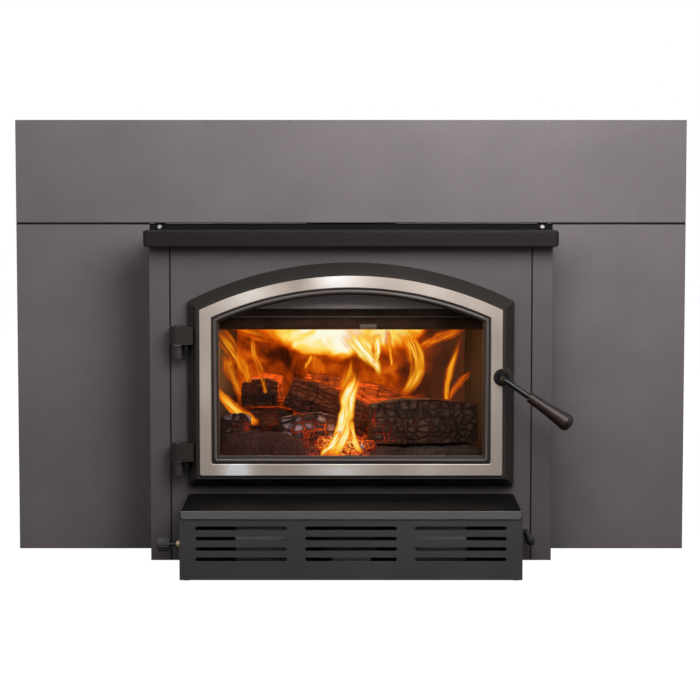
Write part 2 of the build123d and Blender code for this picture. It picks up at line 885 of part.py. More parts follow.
# Folded sheet that turns the combustion air down over the glass.
deflector_top = firebox_top - firebox_plate
deflector_front = face_back - deflector_setback
deflector_back = deflector_front - deflector_shelf
deflector_reach = firebox_half_at(deflector_back) - plate_step - brick_gap
with BuildPart() as airwash_deflector:
    with BuildSketch(Plane.YZ.offset(-deflector_reach)):
        with BuildLine():
            fold_line = Polyline(
                (-deflector_back, deflector_top),
                (-deflector_back, deflector_top - deflector_drop),
                (-deflector_front, deflector_top - deflector_drop),
                (-deflector_front, deflector_top - deflector_drop - deflector_lip),
            )
            offset(fold_line, amount=deflector_thickness, side=Side.LEFT)
        make_face()
    extrude(amount=2 * deflector_reach)
airwash_deflector.part.label = "airwash_deflector"
export_step(airwash_deflector.part, "parts/airwash_deflector.step")

# ---------------------------------------------------------------- door
rim_front = door_back + door_rim_depth
bevel_angle = degrees(atan(door_bevel / (door_front - rim_front)))
glass_seat = door_front - glass_seat_thickness
glass_front = glass_seat - glass_tape_thickness
glass_back = glass_front - glass_thickness
rope_centre = face_front + seat_gap + rope_radius
rope_corner_radius = 3 * rope_radius
hinge_axis = -(door_half + hinge_setback)
hinge_centre = face_front + hinge_front
lug_bottoms = (door_bottom + lower_hinge_rise, door_corner_height - upper_hinge_drop)
lug_reach = door_half - door_bevel * 2 / 3
clip_screw_inset = (clip_step_inset + pocket_inset) / 2
clip_depth = window_inset - clip_step_inset - 4 * fit_gap
clip_inset = (window_inset + clip_step_inset) / 2
side_clip_pitch = (door_corner_height - door_bottom) / side_clip_count
row_clip_pitch = 2 * (door_half - window_inset) / row_clip_count


def clip_places(inset):
    """Places of the glass clips at this inset: across, up and turned by."""
    places = []
    for side in (-1, 1):
        for index in range(side_clip_count):
            height = door_bottom + side_clip_pitch * (index + 0.5)
            places.append((side * (door_half - inset), height, side * -90))
    radius = door_arch_radius - inset
    for index in range(row_clip_count):
        offset_x = row_clip_pitch * (index - (row_clip_count - 1) / 2)
        places.append((offset_x, door_bottom + inset, 180))
        height = door_arch_centre + sqrt(radius**2 - offset_x**2)
        turn = -degrees(atan2(offset_x, height - door_arch_centre))
        places.append((offset_x, height, turn))
    return places


def hinge_plane(height):
    """Level plane at this height with the hinge axis as its origin."""
    return Plane((hinge_axis, -hinge_centre, height))


with BuildPart() as door_frame:
    with BuildSketch(front_plane(door_back)):
        arch_face(0, door_corner_radius)
    extrude(amount=door_rim_depth)
    with BuildSketch(front_plane(rim_front)):
        arch_face(0, door_corner_radius)
    extrude(amount=door_front - rim_front, taper=bevel_angle)
    with BuildSketch(front_plane(rim_front)):
        with Locations(handle_spot):
            Circle(handle_pad_radius)
    extrude(amount=door_front - rim_front)
    for bottom in lug_bottoms:
        with BuildSketch(hinge_plane(bottom)):
            Circle(hinge_lug_radius)
            reach = -lug_reach - hinge_axis
            with Locations((reach / 2, 0)):
                Rectangle(reach, 2 * hinge_lug_radius)
        extrude(amount=hinge_lug_height)
        web = hinge_setback - barrel_radius - hinge_web_gap
        with BuildSketch(front_plane(hinge_centre - hinge_lug_radius / 2)):
            with BuildLine():
                Polyline(
                    (-door_half + hinge_web_gap, bottom),
                    (-door_half - web, bottom),
                    (-door_half + hinge_web_gap, bottom - 2 * web),
                    close=True,
                )
            make_face()
        extrude(amount=hinge_lug_radius)
    # Window, its front chamfer, the glass seat and the step for the clips.
    with BuildSketch(front_plane(door_back)):
        arch_face(window_inset, window_corner_radius)
    extrude(amount=door_depth, mode=Mode.SUBTRACT)
    with BuildSketch(front_plane(door_front - window_chamfer)):
        arch_face(window_inset, window_corner_radius)
    extrude(amount=window_chamfer, taper=-45, mode=Mode.SUBTRACT)
    with BuildSketch(front_plane(door_back)):
        arch_face(pocket_inset, window_corner_radius)
    extrude(amount=glass_seat - door_back, mode=Mode.SUBTRACT)
    with BuildSketch(front_plane(door_back)):
        arch_face(clip_step_inset, window_corner_radius)
    extrude(amount=glass_back - door_back, mode=Mode.SUBTRACT)
    # Groove for the rope gasket.
    with BuildSketch(front_plane(door_back)):
        arch_face(rope_inset - groove_half, rope_corner_radius + groove_half)
        arch_face(
            rope_inset + groove_half,
            rope_corner_radius - groove_half,
            mode=Mode.SUBTRACT,
        )
    extrude(
        amount=rope_centre + rope_radius + fit_gap - door_back, mode=Mode.SUBTRACT
    )
    # Bores: handle rod, hinge pins and clip screws.
    with BuildSketch(front_plane(door_back)):
        with Locations(handle_spot):
            Circle(handle_rod_radius + handle_running_gap)
    extrude(amount=door_depth, mode=Mode.SUBTRACT)
    for bottom in lug_bottoms:
        with BuildSketch(hinge_plane(bottom)):
            Circle(hinge_pin_radius + fit_gap)
        extrude(amount=hinge_lug_height, mode=Mode.SUBTRACT)
    with BuildSketch(front_plane(glass_back)):
        for across, up, turn in clip_places(clip_screw_inset):
            with Locations((across, up)):
                Circle(clip_screw_radius + fit_gap)
    extrude(amount=2 * clip_thickness, mode=Mode.SUBTRACT)
door_frame.part.label = "door_frame"
export_step(door_frame.part, "parts/door_frame.step")

with BuildPart() as door_trim:
    with BuildSketch(front_plane(door_front)):
        arch_face(trim_outer_inset, door_corner_radius / 2)
        arch_face(trim_inner_inset, door_corner_radius / 2, mode=Mode.SUBTRACT)
        with Locations(handle_spot):
            Circle(handle_notch_radius, mode=Mode.SUBTRACT)
    extrude(amount=trim_thickness)
    chamfer(door_trim.faces().sort_by(Axis.Y)[0].edges(), trim_edge_chamfer)
door_trim.part.label = "door_trim"
export_step(door_trim.part, "parts/door_trim.step")

with BuildPart() as door_glass:
    with BuildSketch(front_plane(glass_back)):
        arch_face(glass_inset, window_corner_radius)
    extrude(amount=glass_thickness)
door_glass.part.label = "door_glass"
export_step(door_glass.part, "parts/door_glass.step")

with BuildPart() as glass_gasket:
    with BuildSketch(front_plane(glass_front)):
        arch_face(pocket_inset + fit_gap, window_corner_radius)
        arch_face(window_inset, window_corner_radius, mode=Mode.SUBTRACT)
    extrude(amount=glass_tape_thickness)
glass_gasket.part.label = "glass_gasket"
export_step(glass_gasket.part, "parts/glass_gasket.step")

with BuildPart() as glass_clips:
    for across, up, turn in clip_places(clip_inset):
        with BuildSketch(front_plane(glass_back)):
            with Locations(Location((across, up), turn)):
                Rectangle(clip_width, clip_depth)
        extrude(amount=-clip_thickness)
    with BuildSketch(front_plane(glass_back)):
        for across, up, turn in clip_places(clip_screw_inset):
            with Locations((across, up)):
                Circle(clip_screw_radius + fit_gap)
    extrude(amount=-clip_thickness, mode=Mode.SUBTRACT)
glass_clips.part.label = "glass_clips"
export_step(glass_clips.part, "parts/glass_clips.step")

with BuildPart() as glass_clip_screws:
    with BuildSketch(front_plane(glass_back - clip_thickness)):
        for across, up, turn in clip_places(clip_screw_inset):
            with Locations((across, up)):
                Circle(clip_screw_radius)
    extrude(amount=3 * clip_thickness - seat_gap)
    with BuildSketch(front_plane(glass_back - clip_thickness)):
        for across, up, turn in clip_places(clip_screw_inset):
            with Locations((across, up)):
                RegularPolygon(clip_screw_head, 6)
    extrude(amount=-clip_screw_radius)
glass_clip_screws.part.label = "glass_clip_screws"
export_step(glass_clip_screws.part, "parts/glass_clip_screws.step")

with BuildSketch(front_plane(rope_centre)) as rope_outline:
    arch_face(rope_inset, rope_corner_radius)
rope_path = rope_outline.sketch.faces()[0].outer_wire()
with BuildPart() as door_rope:
    with BuildSketch(Plane(rope_path.position_at(0), z_dir=rope_path.tangent_at(0))):
        RegularPolygon(rope_radius, rope_sides)
    sweep(path=rope_path)
door_rope.part.label = "door_rope"
export_step(door_rope.part, "parts/door_rope.step")

# ---------------------------------------------------------------- hinges
barrel_tops = [bottom - seat_gap - hinge_washer_thickness for bottom in lug_bottoms]
with BuildPart() as hinge_barrels:
    for top in barrel_tops:
        with BuildSketch(hinge_plane(top)):
            Circle(barrel_radius)
            with Locations((0, hinge_front / 2)):
                Rectangle(barrel_radius, hinge_front)
            with Locations((0, hinge_front - hinge_foot_thickness / 2)):
                Rectangle(hinge_setback * 5 / 3, hinge_foot_thickness)
        extrude(amount=-barrel_length)
        with BuildSketch(hinge_plane(top)):
            Circle(hinge_pin_radius + hinge_running_gap)
        extrude(amount=-barrel_length, mode=Mode.SUBTRACT)
hinge_barrels.part.label = "hinge_barrels"
export_step(hinge_barrels.part, "parts/hinge_barrels.step")

with BuildPart() as hinge_washers:
    for top in barrel_tops:
        with BuildSketch(hinge_plane(top)):
            Circle(barrel_radius)
            Circle(hinge_pin_radius + 2 * hinge_running_gap, mode=Mode.SUBTRACT)
        extrude(amount=hinge_washer_thickness)
hinge_washers.part.label = "hinge_washers"
export_step(hinge_washers.part, "parts/hinge_washers.step")

with BuildPart() as hinge_pins:
    for bottom in lug_bottoms:
        lug_top = bottom + hinge_lug_height
        with BuildSketch(hinge_plane(lug_top)):
            Circle(pin_head_radius)
        extrude(amount=pin_head_radius / 2)
        dome = hinge_pins.faces().filter_by(Axis.Z).sort_by(Axis.Z)[-1]
        chamfer(dome.edges(), pin_head_radius * 0.35)
        with BuildSketch(hinge_plane(lug_top)):
            Circle(hinge_pin_radius)
        extrude(amount=-hinge_lug_height - hinge_washer_thickness - barrel_length)
hinge_pins.part.label = "hinge_pins"
export_step(hinge_pins.part, "parts/hinge_pins.step")

# ---------------------------------------------------------------- handle
droop = radians(handle_droop)
lean = radians(handle_lean)
lever = Vector(cos(droop) * cos(lean), -sin(lean), -sin(droop) * cos(lean))
lever_start = Vector(handle_offset, -door_front - handle_reach, handle_height)
cam_front = face_back - latch_face_gap
rod_back = cam_front - latch_thickness - latch_nut_thickness - handle_rod_end
rod_grip_depth = grip_length / 4

with BuildPart() as handle_rod:
    with BuildLine() as rod_route:
        FilletPolyline(
            (handle_offset, -rod_back, handle_height),
            lever_start,
            lever_start + lever * (grip_start + rod_grip_depth),
            radius=handle_bend_radius,
        )
    with BuildSketch(front_plane(rod_back)):
        with Locations(handle_spot):
            Circle(handle_rod_radius)
    sweep(path=rod_route.line)
handle_rod.part.label = "handle_rod"
export_step(handle_rod.part, "parts/handle_rod.step")

# Turned grip: neck, swelling body and a rounded end.
grip_plane = Plane(
    lever_start + lever * grip_start, x_dir=lever, z_dir=lever.cross(Vector(0, 0, 1))
)
grip_bore = handle_rod_radius + fit_gap
grip_hollow = rod_grip_depth + fit_gap
grip_shoulder = grip_length - grip_end_rounding
with BuildPart() as handle_grip:
    with BuildSketch(grip_plane):
        with BuildLine():
            Polyline(
                (grip_hollow, 0),
                (grip_hollow, grip_bore),
                (0, grip_bore),
                (0, grip_neck_radius - grip_neck_chamfer),
                (grip_neck_chamfer, grip_neck_radius),
            )
            TangentArc(
                (grip_neck_chamfer, grip_neck_radius),
                (grip_shoulder, grip_end_radius),
                tangent=(1, 0.02),
            )
            Polyline(
                (grip_shoulder, grip_end_radius),
                (grip_length - grip_end_step, grip_end_radius - grip_end_step),
                (grip_length, grip_end_radius - grip_end_rounding),
                (grip_length, 0),
                (grip_hollow, 0),
            )
        make_face()
    revolve(axis=Axis(grip_plane.origin, lever))
handle_grip.part.label = "handle_grip"
export_step(handle_grip.part, "parts/handle_grip.step")

with BuildPart() as handle_washer:
    with BuildSketch(front_plane(door_front + seat_gap)):
        with Locations(handle_spot):
            Circle(handle_washer_radius)
            Circle(handle_rod_radius + fit_gap, mode=Mode.SUBTRACT)
    extrude(amount=handle_washer_thickness)
    rim = handle_washer.faces().sort_by(Axis.Y)[0].outer_wire()
    chamfer(rim.edges(), handle_washer_thickness / 3)
handle_washer.part.label = "handle_washer"
export_step(handle_washer.part, "parts/handle_washer.step")

# Tongue that turns behind the face plate and passes its slot when upright.
with BuildPart() as latch_cam:
    with BuildSketch(front_plane(cam_front)):
        with Locations(handle_spot):
            Circle(latch_hub_radius)
        with Locations((handle_offset + latch_length / 2, handle_height)):
            Rectangle(latch_length, 2 * latch_half_width)
        with Locations(handle_spot):
            Circle(handle_rod_radius + fit_gap, mode=Mode.SUBTRACT)
    extrude(amount=-latch_thickness)
    tip = latch_cam.edges().filter_by(Axis.Y).group_by(Axis.X)[-1]
    fillet(tip, latch_half_width / 2)
latch_cam.part.label = "latch_cam"
export_step(latch_cam.part, "parts/latch_cam.step")

with BuildPart() as latch_nuts:
    for nut_front in (cam_front + latch_nut_thickness, cam_front - latch_thickness):
        with BuildSketch(front_plane(nut_front)):
            with Locations(handle_spot):
                RegularPolygon(latch_nut_radius, 6)
                Circle(handle_rod_radius + fit_gap, mode=Mode.SUBTRACT)
        extrude(amount=-latch_nut_thickness)
latch_nuts.part.label = "latch_nuts"
export_step(latch_nuts.part, "parts/latch_nuts.step")

# ---------------------------------------------------------------- blower
lid_front = blower_front + fit_gap + blower_sheet
knob_front = blower_front - knob_setback
knob_spot = (-knob_front, knob_height)
control_neck_radius = knob_shaft_radius + knob_bushing_wall
cord_front = face_front + 2 * blower_cover_fold
cord_spot = (-cord_front, cord_height)
cord_neck_radius = cord_gland_radius - cord_gland_step

with BuildPart() as blower_cover:
    with BuildSketch(Plane.XY.offset(blower_lift)):
        with BuildLine():
            fold_line = Polyline(
                (-blower_half + blower_cover_fold, -face_front),
                (-blower_half, -face_front),
                (-blower_half, -blower_front),
                (blower_half, -blower_front),
                (blower_half, -face_front),
                (blower_half - blower_cover_fold, -face_front),
            )
            offset(fold_line, amount=blower_sheet, side=Side.LEFT)
        make_face()
    extrude(amount=cover_top - blower_lift)
    with BuildSketch(front_plane(blower_front)):
        with Locations((0, slot_field_height)):
            with GridLocations(
                slot_column_pitch, slot_row_pitch, slot_columns, slot_rows
            ):
                SlotOverall(slot_length, slot_height)
    extrude(amount=-2 * blower_sheet, mode=Mode.SUBTRACT)
    with BuildSketch(Plane.YZ.offset(-blower_half)):
        with Locations(knob_spot):
            Circle(control_neck_radius + fit_gap)
        with Locations(cord_spot):
            Circle(cord_neck_radius + fit_gap)
    extrude(amount=2 * blower_sheet, mode=Mode.SUBTRACT)
blower_cover.part.label = "blower_cover"
export_step(blower_cover.part, "parts/blower_cover.step")

with BuildPart() as blower_lid:
    with BuildSketch(Plane.XY.offset(cover_top)):
        with Locations((0, -(lid_front + face_front + fit_gap) / 2)):
            Rectangle(lid_width, lid_front - face_front - fit_gap)
    extrude(amount=blower_sheet)
    with BuildSketch(front_plane(lid_front)):
        with Locations((0, blower_height - lid_lip_height / 2)):
            Rectangle(lid_width, lid_lip_height)
    extrude(amount=-blower_sheet)
    nose = blower_lid.faces().sort_by(Axis.Y)[0]
    fillet(nose.edges().sort_by(Axis.Z)[-1], blower_sheet * 0.8)
    fillet(
        blower_lid.edges().filter_by(Axis.Y).group_by(Axis.Z)[0], lid_lip_corner
    )
blower_lid.part.label = "blower_lid"
export_step(blower_lid.part, "parts/blower_lid.step")

base_half = blower_half - blower_sheet - fit_gap
base_back = face_front + blower_sheet + fit_gap
base_front = blower_front - blower_sheet - fit_gap
cradle_top = fan_axis_height - motor_radius * 0.6
with BuildPart() as blower_base:
    with BuildSketch(Plane.XY.offset(blower_base_height)):
        with Locations((0, -(base_front + base_back) / 2)):
            Rectangle(2 * base_half, base_front - base_back)
    extrude(amount=blower_sheet)
    # Saddle welded on for the motor.
    with BuildSketch(Plane.YZ.offset(-motor_length / 3)):
        with Locations((-fan_axis_front, (base_top + cradle_top) / 2)):
            Rectangle(2 * motor_radius, cradle_top - base_top)
        with Locations((-fan_axis_front, fan_axis_height)):
            Circle(motor_radius + fit_gap, mode=Mode.SUBTRACT)
    extrude(amount=motor_length * 2 / 3)
blower_base.part.label = "blower_base"
export_step(blower_base.part, "parts/blower_base.step")

with BuildPart() as blower_feet:
    with BuildSketch():
        with Locations((0, -(base_front + base_back) / 2)):
            with GridLocations(
                2 * (base_half - foot_radius - foot_inset),
                base_front - base_back - 2 * (foot_radius + foot_inset),
                2,
                2,
            ):
                Circle(foot_radius)
    extrude(amount=blower_base_height)
blower_feet.part.label = "blower_feet"
export_step(blower_feet.part, "parts/blower_feet.step")

# Motor with a shaft out of each end, on a saddle.
fan_spot = (-fan_axis_front, fan_axis_height)
motor_boss_radius = 3 * motor_shaft_radius
with BuildPart() as blower_motor:
    with BuildSketch(Plane.YZ.offset(-motor_length / 2)):
        with Locations(fan_spot):
            Circle(motor_radius)
    extrude(amount=motor_length)
    chamfer(blower_motor.faces().filter_by(Axis.X).edges(), motor_chamfer)
    with BuildSketch(Plane.YZ.offset(-motor_length / 2 - motor_boss_length)):
        with Locations(fan_spot):
            Circle(motor_boss_radius)
    extrude(amount=motor_length + 2 * motor_boss_length)
    with BuildSketch(Plane.YZ.offset(-motor_length)):
        with Locations(fan_spot):
            Circle(motor_shaft_radius + shaft_running_gap)
    extrude(amount=2 * motor_length, mode=Mode.SUBTRACT)
blower_motor.part.label = "blower_motor"
export_step(blower_motor.part, "parts/blower_motor.step")


def scroll_face(wall, overrun):
    """Fan casing seen from its side: a growing spiral that opens to the rear."""
    sweep_angle = 270.0 - scroll_tongue_angle
    steps = 8
    curve = []
    for index in range(steps + 1):
        angle = radians(scroll_tongue_angle + sweep_angle * index / steps)
        radius = scroll_start_radius + scroll_growth * index / steps - wall
        curve.append((radius * cos(angle), radius * sin(angle)))
    mouth = fan_axis_setback - fit_gap + overrun
    with BuildLine() as outline:
        for index in range(0, steps, 2):
            ThreePointArc(*curve[index : index + 3])
        Polyline(curve[-1], (mouth, curve[-1][1]), (mouth, curve[0][1]), curve[0])
    make_face(outline.edges())


def scroll_plane(across):
    """Plane across the fan axis, centred on it, this far to the right."""
    return Plane(
        (across, -fan_axis_front, fan_axis_height), x_dir=(0, 1, 0), z_dir=(1, 0, 0)
    )


with BuildPart() as scroll_housings:
    for across in (-scroll_spacing, scroll_spacing):
        with BuildSketch(scroll_plane(across - scroll_width / 2)):
            scroll_face(0, 0)
        extrude(amount=scroll_width)
        with BuildSketch(scroll_plane(across - scroll_width / 2 + scroll_wall)):
            scroll_face(scroll_wall, scroll_wall)
        extrude(amount=scroll_width - 2 * scroll_wall, mode=Mode.SUBTRACT)
        with BuildSketch(scroll_plane(across - scroll_width / 2)):
            Circle(scroll_inlet_radius)
        extrude(amount=scroll_width, mode=Mode.SUBTRACT)
scroll_housings.part.label = "scroll_housings"
export_step(scroll_housings.part, "parts/scroll_housings.step")


def blade_face():
    """One forward-curved blade, drawn at the right of the fan axis."""
    inner = impeller_radius - impeller_ring_width + blade_thickness / 2
    outer = impeller_radius - blade_thickness / 2
    lead = radians(180 / blade_count)
    tip = (outer * cos(lead), outer * sin(lead))
    back_tip = (outer * cos(lead), outer * sin(lead) - blade_thickness)
    with BuildLine() as outline:
        RadiusArc((inner, blade_thickness), tip, blade_curve_radius)
        Line(tip, back_tip)
        RadiusArc(back_tip, (inner, 0), -blade_curve_radius)
        Line((inner, 0), (inner, blade_thickness))
    return make_face(outline.edges())


# Squirrel-cage wheels: end rings, blades, a middle disc and a hub.
with BuildPart() as fan_wheels:
    for across in (-scroll_spacing, scroll_spacing):
        first = across - impeller_width / 2
        for start in (first, first + impeller_width - impeller_sheet):
            with BuildSketch(scroll_plane(start)):
                Circle(impeller_radius)
                Circle(impeller_radius - impeller_ring_width, mode=Mode.SUBTRACT)
            extrude(amount=impeller_sheet)
        with BuildSketch(scroll_plane(across - impeller_sheet / 2)):
            Circle(impeller_radius)
        extrude(amount=impeller_sheet)
        with BuildSketch(scroll_plane(across - impeller_hub_length / 2)):
            Circle(impeller_hub_radius)
        extrude(amount=impeller_hub_length)
        with BuildSketch(scroll_plane(first)) as blades:
            with PolarLocations(0, blade_count):
                blade_face()
        extrude(amount=impeller_width)
        with BuildSketch(scroll_plane(first)):
            Circle(motor_shaft_radius + fit_gap)
        extrude(amount=impeller_width, mode=Mode.SUBTRACT)
fan_wheels.part.label = "fan_wheels"
export_step(fan_wheels.part, "parts/fan_wheels.step")

shaft_half = scroll_spacing + impeller_hub_length
with BuildPart() as fan_shaft:
    with BuildSketch(scroll_plane(-shaft_half)):
        Circle(motor_shaft_radius)
    extrude(amount=2 * shaft_half)
    chamfer(fan_shaft.faces().filter_by(Axis.X).edges(), motor_shaft_radius / 5)
fan_shaft.part.label = "fan_shaft"
export_step(fan_shaft.part, "parts/fan_shaft.step")

# ---------------------------------------------------------------- fan control
control_right = -blower_half + blower_sheet + control_body_size
knob_right = -blower_half - knob_shaft_length
with BuildPart() as speed_control:
    with BuildSketch(Plane.YZ.offset(-blower_half + blower_sheet)):
        with Locations(knob_spot):
            RectangleRounded(
                control_body_size, control_body_size, control_corner_radius
            )
    extrude(amount=control_body_size)
    with BuildSketch(Plane.YZ.offset(-blower_half + blower_sheet)):
        with Locations(knob_spot):
            Circle(control_neck_radius)
    extrude(amount=-blower_sheet - collar_length)
    with BuildSketch(Plane.YZ.offset(-blower_half - collar_length)):
        with Locations(knob_spot):
            Circle(knob_shaft_radius + knob_running_gap)
    extrude(amount=collar_length + control_body_size, mode=Mode.SUBTRACT)
speed_control.part.label = "speed_control"
export_step(speed_control.part, "parts/speed_control.step")

with BuildPart() as knob_collar:
    with BuildSketch(Plane.YZ.offset(-blower_half)):
        with Locations(knob_spot):
            Circle(collar_radius)
    with BuildSketch(Plane.YZ.offset(-blower_half - collar_length)):
        with Locations(knob_spot):
            Circle(control_neck_radius + collar_wall)
    loft()
    with BuildSketch(Plane.YZ.offset(-blower_half)):
        with Locations(knob_spot):
            Circle(control_neck_radius + fit_gap)
    extrude(amount=-collar_length, mode=Mode.SUBTRACT)
knob_collar.part.label = "knob_collar"
export_step(knob_collar.part, "parts/knob_collar.step")

knob_plane = Plane(
    (knob_right, -knob_front, knob_height), x_dir=(0, 1, 0), z_dir=(-1, 0, 0)
)
with BuildPart() as speed_knob:
    with BuildSketch(knob_plane):
        Circle(knob_radius)
    extrude(amount=knob_length)
    chamfer(speed_knob.faces().sort_by(Axis.X)[0].edges(), knob_chamfer)
    with BuildSketch(knob_plane):
        with PolarLocations(knob_radius + knob_flute_radius / 2, knob_flutes):
            Circle(knob_flute_radius)
    extrude(amount=knob_length, mode=Mode.SUBTRACT)
    with BuildSketch(Plane.YZ.offset(knob_right)):
        with Locations(knob_spot):
            Circle(knob_shaft_radius)
    extrude(amount=control_right - knob_shaft_end_gap - knob_right)
speed_knob.part.label = "speed_knob"
export_step(speed_knob.part, "parts/speed_knob.step")

with BuildPart() as cord_gland:
    with BuildSketch(Plane.YZ.offset(-blower_half)):
        with Locations(cord_spot):
            Circle(cord_gland_radius)
    extrude(amount=-cord_gland_radius)
    chamfer(cord_gland.faces().sort_by(Axis.X)[0].edges(), cord_gland_chamfer)
    with BuildSketch(Plane.YZ.offset(-blower_half)):
        with Locations(cord_spot):
            Circle(cord_neck_radius)
    extrude(amount=2 * blower_sheet)
    with BuildSketch(Plane.YZ.offset(-blower_half - cord_gland_radius)):
        with Locations(cord_spot):
            Circle(cord_bore_radius)
    extrude(amount=cord_gland_radius + 2 * blower_sheet, mode=Mode.SUBTRACT)
cord_gland.part.label = "cord_gland"
export_step(cord_gland.part, "parts/cord_gland.step")

# ---------------------------------------------------------------- air control
rod_front = face_front + air_rod_front
valve_top = air_rod_height - air_rod_radius
intake_top = valve_top - valve_plate_thickness - seat_gap
with BuildPart() as air_rod:
    with BuildSketch(front_plane(rod_front)):
        with Locations((air_rod_offset, air_rod_height)):
            Circle(air_rod_radius)
    extrude(amount=valve_back - rod_front)
    with BuildSketch(Plane.XY.offset(valve_top + valve_weld_depth)):
        with Locations((air_rod_offset, -port_middle)):
            RectangleRounded(valve_plate_width, valve_plate_length, valve_plate_corner)
    extrude(amount=-valve_plate_thickness - valve_weld_depth)
air_rod.part.label = "air_rod"
export_step(air_rod.part, "parts/air_rod.step")

with BuildPart() as air_intake_box:
    with BuildSketch(Plane.XY.offset(base_thickness)):
        with Locations((air_rod_offset, -port_middle)):
            Rectangle(valve_plate_width, valve_plate_length)
    extrude(amount=intake_top - base_thickness)
    box_floor = air_intake_box.faces().sort_by(Axis.Z)[0]
    offset(amount=-intake_wall, openings=box_floor)
    with BuildSketch(Plane.XY.offset(intake_top)):
        with Locations((air_rod_offset, -port_middle)):
            Rectangle(valve_port_width, valve_port_length)
    extrude(amount=-intake_wall, mode=Mode.SUBTRACT)
air_intake_box.part.label = "air_intake_box"
export_step(air_intake_box.part, "parts/air_intake_box.step")

# Drop-shaped pull on the front end of the rod.
tilt = radians(air_handle_tilt)
pull_line = Vector(cos(tilt), 0, -sin(tilt))
pull_start = Vector(air_rod_offset, -rod_front, air_rod_height)
pull_plane = Plane(pull_start, x_dir=(0, -1, 0), z_dir=pull_line)
pull_neck_radius = air_rod_radius + pull_wall
pull_sections = (
    (-pull_neck_radius, pull_end_radius),
    (-pull_neck_radius * 0.6, pull_neck_radius * 0.8),
    (0, pull_neck_radius),
    (air_handle_length * 0.3, air_handle_radius * 0.86),
    (air_handle_length * 0.6, air_handle_radius),
    (air_handle_length * 0.85, air_handle_radius * 0.8),
    (air_handle_length, pull_end_radius),
)
with BuildPart() as air_handle:
    for along, radius in pull_sections:
        with BuildSketch(pull_plane.offset(along)):
            Circle(radius)
    loft(ruled=True)
    with BuildSketch(front_plane(rod_front + fit_gap)):
        with Locations((air_rod_offset, air_rod_height)):
            Circle(air_rod_radius + fit_gap)
    extrude(amount=-2 * air_handle_radius, mode=Mode.SUBTRACT)
air_handle.part.label = "air_handle"
export_step(air_handle.part, "parts/air_handle.step")

# ---------------------------------------------------------------- fuel
bed_top = hearth_height + ember_bed_height
with BuildPart() as ember_bed:
    with BuildSketch(Plane.XY.offset(hearth_height)) as bed_plan:
        firebox_plan(
            lined_step + ember_bed_margin,
            brick_front - ember_bed_margin / 2,
            back_brick_face + ember_bed_margin,
        )
        fillet(bed_plan.vertices(), 2 * ember_bed_margin)
    extrude(amount=ember_bed_height, taper=ember_bed_slope)
ember_bed.part.label = "ember_bed"
export_step(ember_bed.part, "parts/ember_bed.step")


def log_sections(foot, along, length, width, height):
    """Outlines of a flat-bottomed split log, from its foot along its length."""
    across = Vector(0, 0, 1).cross(along)
    outlines = []
    for share, girth in log_taper:
        wide = width * girth
        high = height * girth
        with BuildSketch(
            Plane(foot + along * (length * share), x_dir=across, z_dir=along)
        ) as station:
            Polygon(
                (-wide * 0.45, 0),
                (wide * 0.45, 0),
                (wide * 0.5, high * 0.45),
                (wide * 0.25, high),
                (-wide * 0.3, high),
                (-wide * 0.5, high * 0.4),
                align=None,
            )
        outlines.append(station.sketch.faces()[0])
    return outlines


def level_way(turn):
    """Level direction, turned this much from the right towards the back."""
    return Vector(cos(radians(turn)), sin(radians(turn)), 0)


def leaning_way(foot_x, edge_x):
    """Direction up to the left, from the bed over a chunk's upper edge."""
    edge_height = chunk_height * log_taper[0][1] + seat_gap
    lean = atan2(edge_height, foot_x - edge_x)
    return Vector(-cos(lean), 0, sin(lean))


# Chunks lie on the bed with a second layer on two of them, and two longer
# logs lean on the chunks with their feet on the bed.
log_floor = bed_top + seat_gap
upper_floor = log_floor + chunk_height + seat_gap
left = Vector(-1, 0, 0)
logs = (
    (
        Vector(front_log_foot, front_row_setback, log_floor),
        level_way(front_log_turn),
        front_log_length,
        front_log_width,
        front_log_height,
    ),
    (
        Vector(-front_chunk_start, front_row_setback, log_floor),
        left,
        front_chunk_length,
        chunk_width,
        chunk_height,
    ),
    (
        Vector(-corner_chunk_start, front_row_setback, log_floor),
        left,
        corner_chunk_length,
        chunk_width,
        chunk_height,
    ),
    (
        Vector(-side_chunk_start, middle_row_setback, log_floor),
        left,
        side_chunk_length,
        chunk_width,
        chunk_height,
    ),
    (
        Vector(-side_chunk_start - upper_chunk_step, middle_row_setback, upper_floor),
        left,
        upper_chunk_length,
        chunk_width,
        upper_chunk_height,
    ),
    (
        Vector(-back_chunk_start, back_row_setback, log_floor),
        left,
        back_chunk_length,
        chunk_width,
        chunk_height,
    ),
    (
        Vector(-back_chunk_start - upper_chunk_step, back_row_setback, upper_floor),
        left,
        upper_chunk_length,
        chunk_width,
        upper_chunk_height,
    ),
    (
        Vector(middle_log_foot, middle_row_setback, log_floor),
        leaning_way(middle_log_foot, -side_chunk_start),
        middle_log_length,
        middle_log_width,
        middle_log_height,
    ),
    (
        Vector(back_log_foot, back_row_setback, log_floor),
        leaning_way(back_log_foot, -back_chunk_start),
        back_log_length,
        back_log_width,
        back_log_height,
    ),
)
with BuildPart() as split_logs:
    for foot, along, length, width, height in logs:
        loft(log_sections(foot, along, length, width, height), ruled=True)
split_logs.part.label = "split_logs"
export_step(split_logs.part, "parts/split_logs.step")
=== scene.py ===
"""Looks of the fireplace insert: paints, castings, firewood, flames and the studio."""

import math
import random

import bpy
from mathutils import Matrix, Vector, noise


